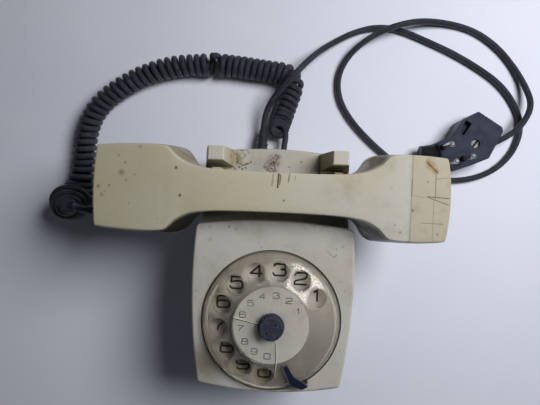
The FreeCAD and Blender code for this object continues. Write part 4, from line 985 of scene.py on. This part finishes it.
# ---------------------------------------------------------------- digits
RIGHT, LEFT, TOP, LOW = 0.48, -0.48, 0.5, -0.5
DIGITS = {
    "0": [("closed", [(LEFT, 0), (LEFT, TOP), (0, TOP), (RIGHT, TOP), (RIGHT, 0), (RIGHT, LOW), (0, LOW),
                      (LEFT, LOW)])],
    "1": [("open", [(-0.2, 0.26), (0.08, TOP), (0.08, TOP), (0.08, LOW)])],
    "2": [("open", [(LEFT, 0.24), (LEFT, TOP), (0, TOP), (RIGHT, TOP), (RIGHT, 0.06), (0.05, -0.08),
                    (LEFT, -0.2), (LEFT, LOW), (LEFT, LOW), (RIGHT, LOW)])],
    "3": [("open", [(-0.44, 0.26), (-0.42, TOP), (0, TOP), (0.45, TOP), (0.44, 0.05), (0.0, 0.04),
                    (0.5, 0.04), (0.5, LOW), (0, LOW), (LEFT, LOW), (LEFT, -0.24)])],
    "4": [("open", [(0.22, LOW), (0.22, TOP), (0.22, TOP), (LEFT, -0.2), (LEFT, -0.2), (RIGHT, -0.2)])],
    "5": [("open", [(0.42, TOP), (-0.38, TOP), (-0.38, TOP), (-0.42, 0.04), (-0.42, 0.04), (0, 0.16),
                    (RIGHT, 0.14), (RIGHT, LOW), (0, LOW), (LEFT, LOW), (LEFT, -0.26)])],
    "6": [("open", [(0.44, 0.3), (0.42, TOP), (0, TOP), (LEFT, TOP), (LEFT, 0), (LEFT, LOW), (0, LOW),
                    (RIGHT, LOW), (RIGHT, 0.1), (0, 0.1), (-0.4, 0.1), (-0.46, -0.12)])],
    "7": [("open", [(LEFT, TOP), (RIGHT, TOP), (RIGHT, TOP), (0.25, 0.18), (-0.15, -0.12), (-0.18, LOW)])],
    "8": [("closed", [(-0.4, 0.27), (-0.4, TOP), (0, TOP), (0.4, TOP), (0.4, 0.27), (0.4, 0.04), (0, 0.04),
                      (-0.4, 0.04)]),
          ("closed", [(LEFT, -0.23), (LEFT, 0.04), (0, 0.04), (RIGHT, 0.04), (RIGHT, -0.23), (RIGHT, LOW),
                      (0, LOW), (LEFT, LOW)])],
    "9": [("open", [(-0.44, -0.3), (-0.42, LOW), (0, LOW), (RIGHT, LOW), (RIGHT, 0), (RIGHT, TOP), (0, TOP),
                    (LEFT, TOP), (LEFT, -0.1), (0, -0.1), (0.4, -0.1), (0.46, 0.12)])],
}
HOLE_FIRST = 31.0
HOLE_STEP = 26.0
HOLE_CIRCLE = 0.0322
CARD_CIRCLE = 0.0184


def make_digits(name, radius, z, width, height, stroke, material, body):
    """The ten digits printed upright round a ring, as one flat mesh."""
    vertices, faces = [], []
    for k in range(10):
        angle = math.radians(HOLE_FIRST + HOLE_STEP * k)
        centre = Vector((DIAL.x + radius * math.cos(angle), DIAL.y + radius * math.sin(angle), z))
        for form, points in DIGITS[str((k + 1) % 10)]:
            curve = nurbs("stroke", [(x * width, y * height, 0) for x, y in points], form == "closed")
            curve.data.bevel_depth = stroke / 2
            curve.data.bevel_resolution = 2
            curve.data.use_fill_caps = True
            data = bpy.data.meshes.new_from_object(curve)
            first = len(vertices)
            vertices += [centre + Vector((v.co.x, v.co.y, v.co.z * 0.04)) for v in data.vertices]
            faces += [tuple(first + v for v in p.vertices) for p in data.polygons]
            bpy.data.objects.remove(curve)
    return piece_from(name, vertices, faces, material, body)


def make_all_digits():
    """The large digits on the number plate and the small ones on the card."""
    ink = Paint("digit_ink", shade(24, 22, 20), 0.5)
    ink.layer(ink.span(ink.noise(500, 4), 0.56, 0.8, 0.0, 0.3), shade(70, 62, 50))
    small_ink = Paint("small_digit_ink", shade(60, 60, 60), 0.6)
    small_ink.layer(small_ink.span(small_ink.noise(700, 4), 0.5, 0.75, 0.0, 0.5), shade(130, 126, 116))
    make_digits("dial_digits", HOLE_CIRCLE, PLATE_TOP, 0.0080, 0.0073, 0.00118, ink.material,
                "base")
    make_digits("card_digits", CARD_CIRCLE, CARD_TOP, 0.0038, 0.0033, 0.00055, small_ink.material,
                "dial")


# ---------------------------------------------------------------- dial window and cracks
WINDOW_LOW = CARD_TOP + 0.00006
WINDOW_TOP = WHEEL_TOP + 0.0022
WINDOW_R = 0.0238
WINDOW_BORE_R = 0.0032
DISH_FALL = 0.353


def dish(x, y):
    """Height of the clear wheel's top, or of the window over the card, at a place in millimetres."""
    beyond = math.hypot(x, y - DIAL.y / MM) - WINDOW_R / MM
    return WINDOW_TOP / MM if beyond < 0 else WHEEL_TOP / MM - beyond * DISH_FALL


def make_window():
    """The cracked clear cover over the number card."""
    bore, r, low, top = WINDOW_BORE_R, WINDOW_R, WINDOW_LOW, WINDOW_TOP
    profile = [(bore, low), (r - 0.0004, low), (r, low + 0.0004), (r, top - 0.0006),
               (r - 0.0002, top - 0.0002), (r - 0.0007, top), (bore, top)]
    vertices, faces = lathe(profile, DIAL)
    cover = piece_from("label_cover", vertices, faces, PAINTS["window"].material,
                       "dial", smooth=False)
    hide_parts("label_window")


CRACKS = [
    # name, points in millimetres, half-width, pale or dark
    ("crack_a", [(-6.4, -31.6), (-12.0, -30.4), (-18.4, -28.9), (-25.4, -27.2)], 0.16, "pale"),
    ("crack_a_shade", [(-6.4, -32.1), (-12.0, -30.9), (-18.4, -29.5), (-25.0, -28.0)], 0.2, "dark"),
    ("crack_b", [(3.0, -39.6), (3.9, -45.4), (4.3, -52.4), (3.9, -58.4), (3.6, -64.0)], 0.14, "pale"),
    ("crack_b_shade", [(2.4, -39.8), (3.3, -45.4), (3.7, -52.4), (3.2, -58.4), (3.0, -64.0)], 0.22, "dark"),
    ("crack_c", [(13.4, -13.2), (16.8, -12.2), (18.4, -10.2)], 0.16, "pale"),
]


def make_cracks():
    """Cracks in the cover and the wheel, as thin strips on their tops."""
    pale = Paint("crack_glint", shade(244, 242, 232), 0.3)
    pale.layer(pale.span(pale.noise(400, 3), 0.4, 0.7), shade(206, 198, 168))
    dark = Paint("crack_shade", shade(58, 52, 40), 0.6)
    dark.layer(dark.span(dark.noise(300, 3), 0.45, 0.7), shade(120, 104, 62))
    for name, points, half, tone in CRACKS:
        line = []
        for place in evenly([at(x, y, 0) for x, y in points], 0.0008):
            x, y = (place.x - CENTRE_X) / MM, place.y / MM
            line.append(at(x, y, dish(x, y) + 0.03))
        vertices, faces = ribbon(line, half * MM, 0.00004)
        paint = pale if tone == "pale" else dark
        piece_from(name, vertices, faces, paint.material, "dial", smooth=False)


def make_floor():
    corners = [(-FLOOR_HALF, -FLOOR_HALF, 0), (FLOOR_HALF, -FLOOR_HALF, 0),
               (FLOOR_HALF, FLOOR_HALF, 0), (-FLOOR_HALF, FLOOR_HALF, 0)]
    floor = piece_from("floor", corners, [(0, 1, 2, 3)], floor_paint().material)


make_camera()
make_light()
make_paints()
paint_frame()
make_line_cord()
make_curly_cord()
make_handset_shell()
make_window()
make_cracks()
make_all_digits()
make_floor()
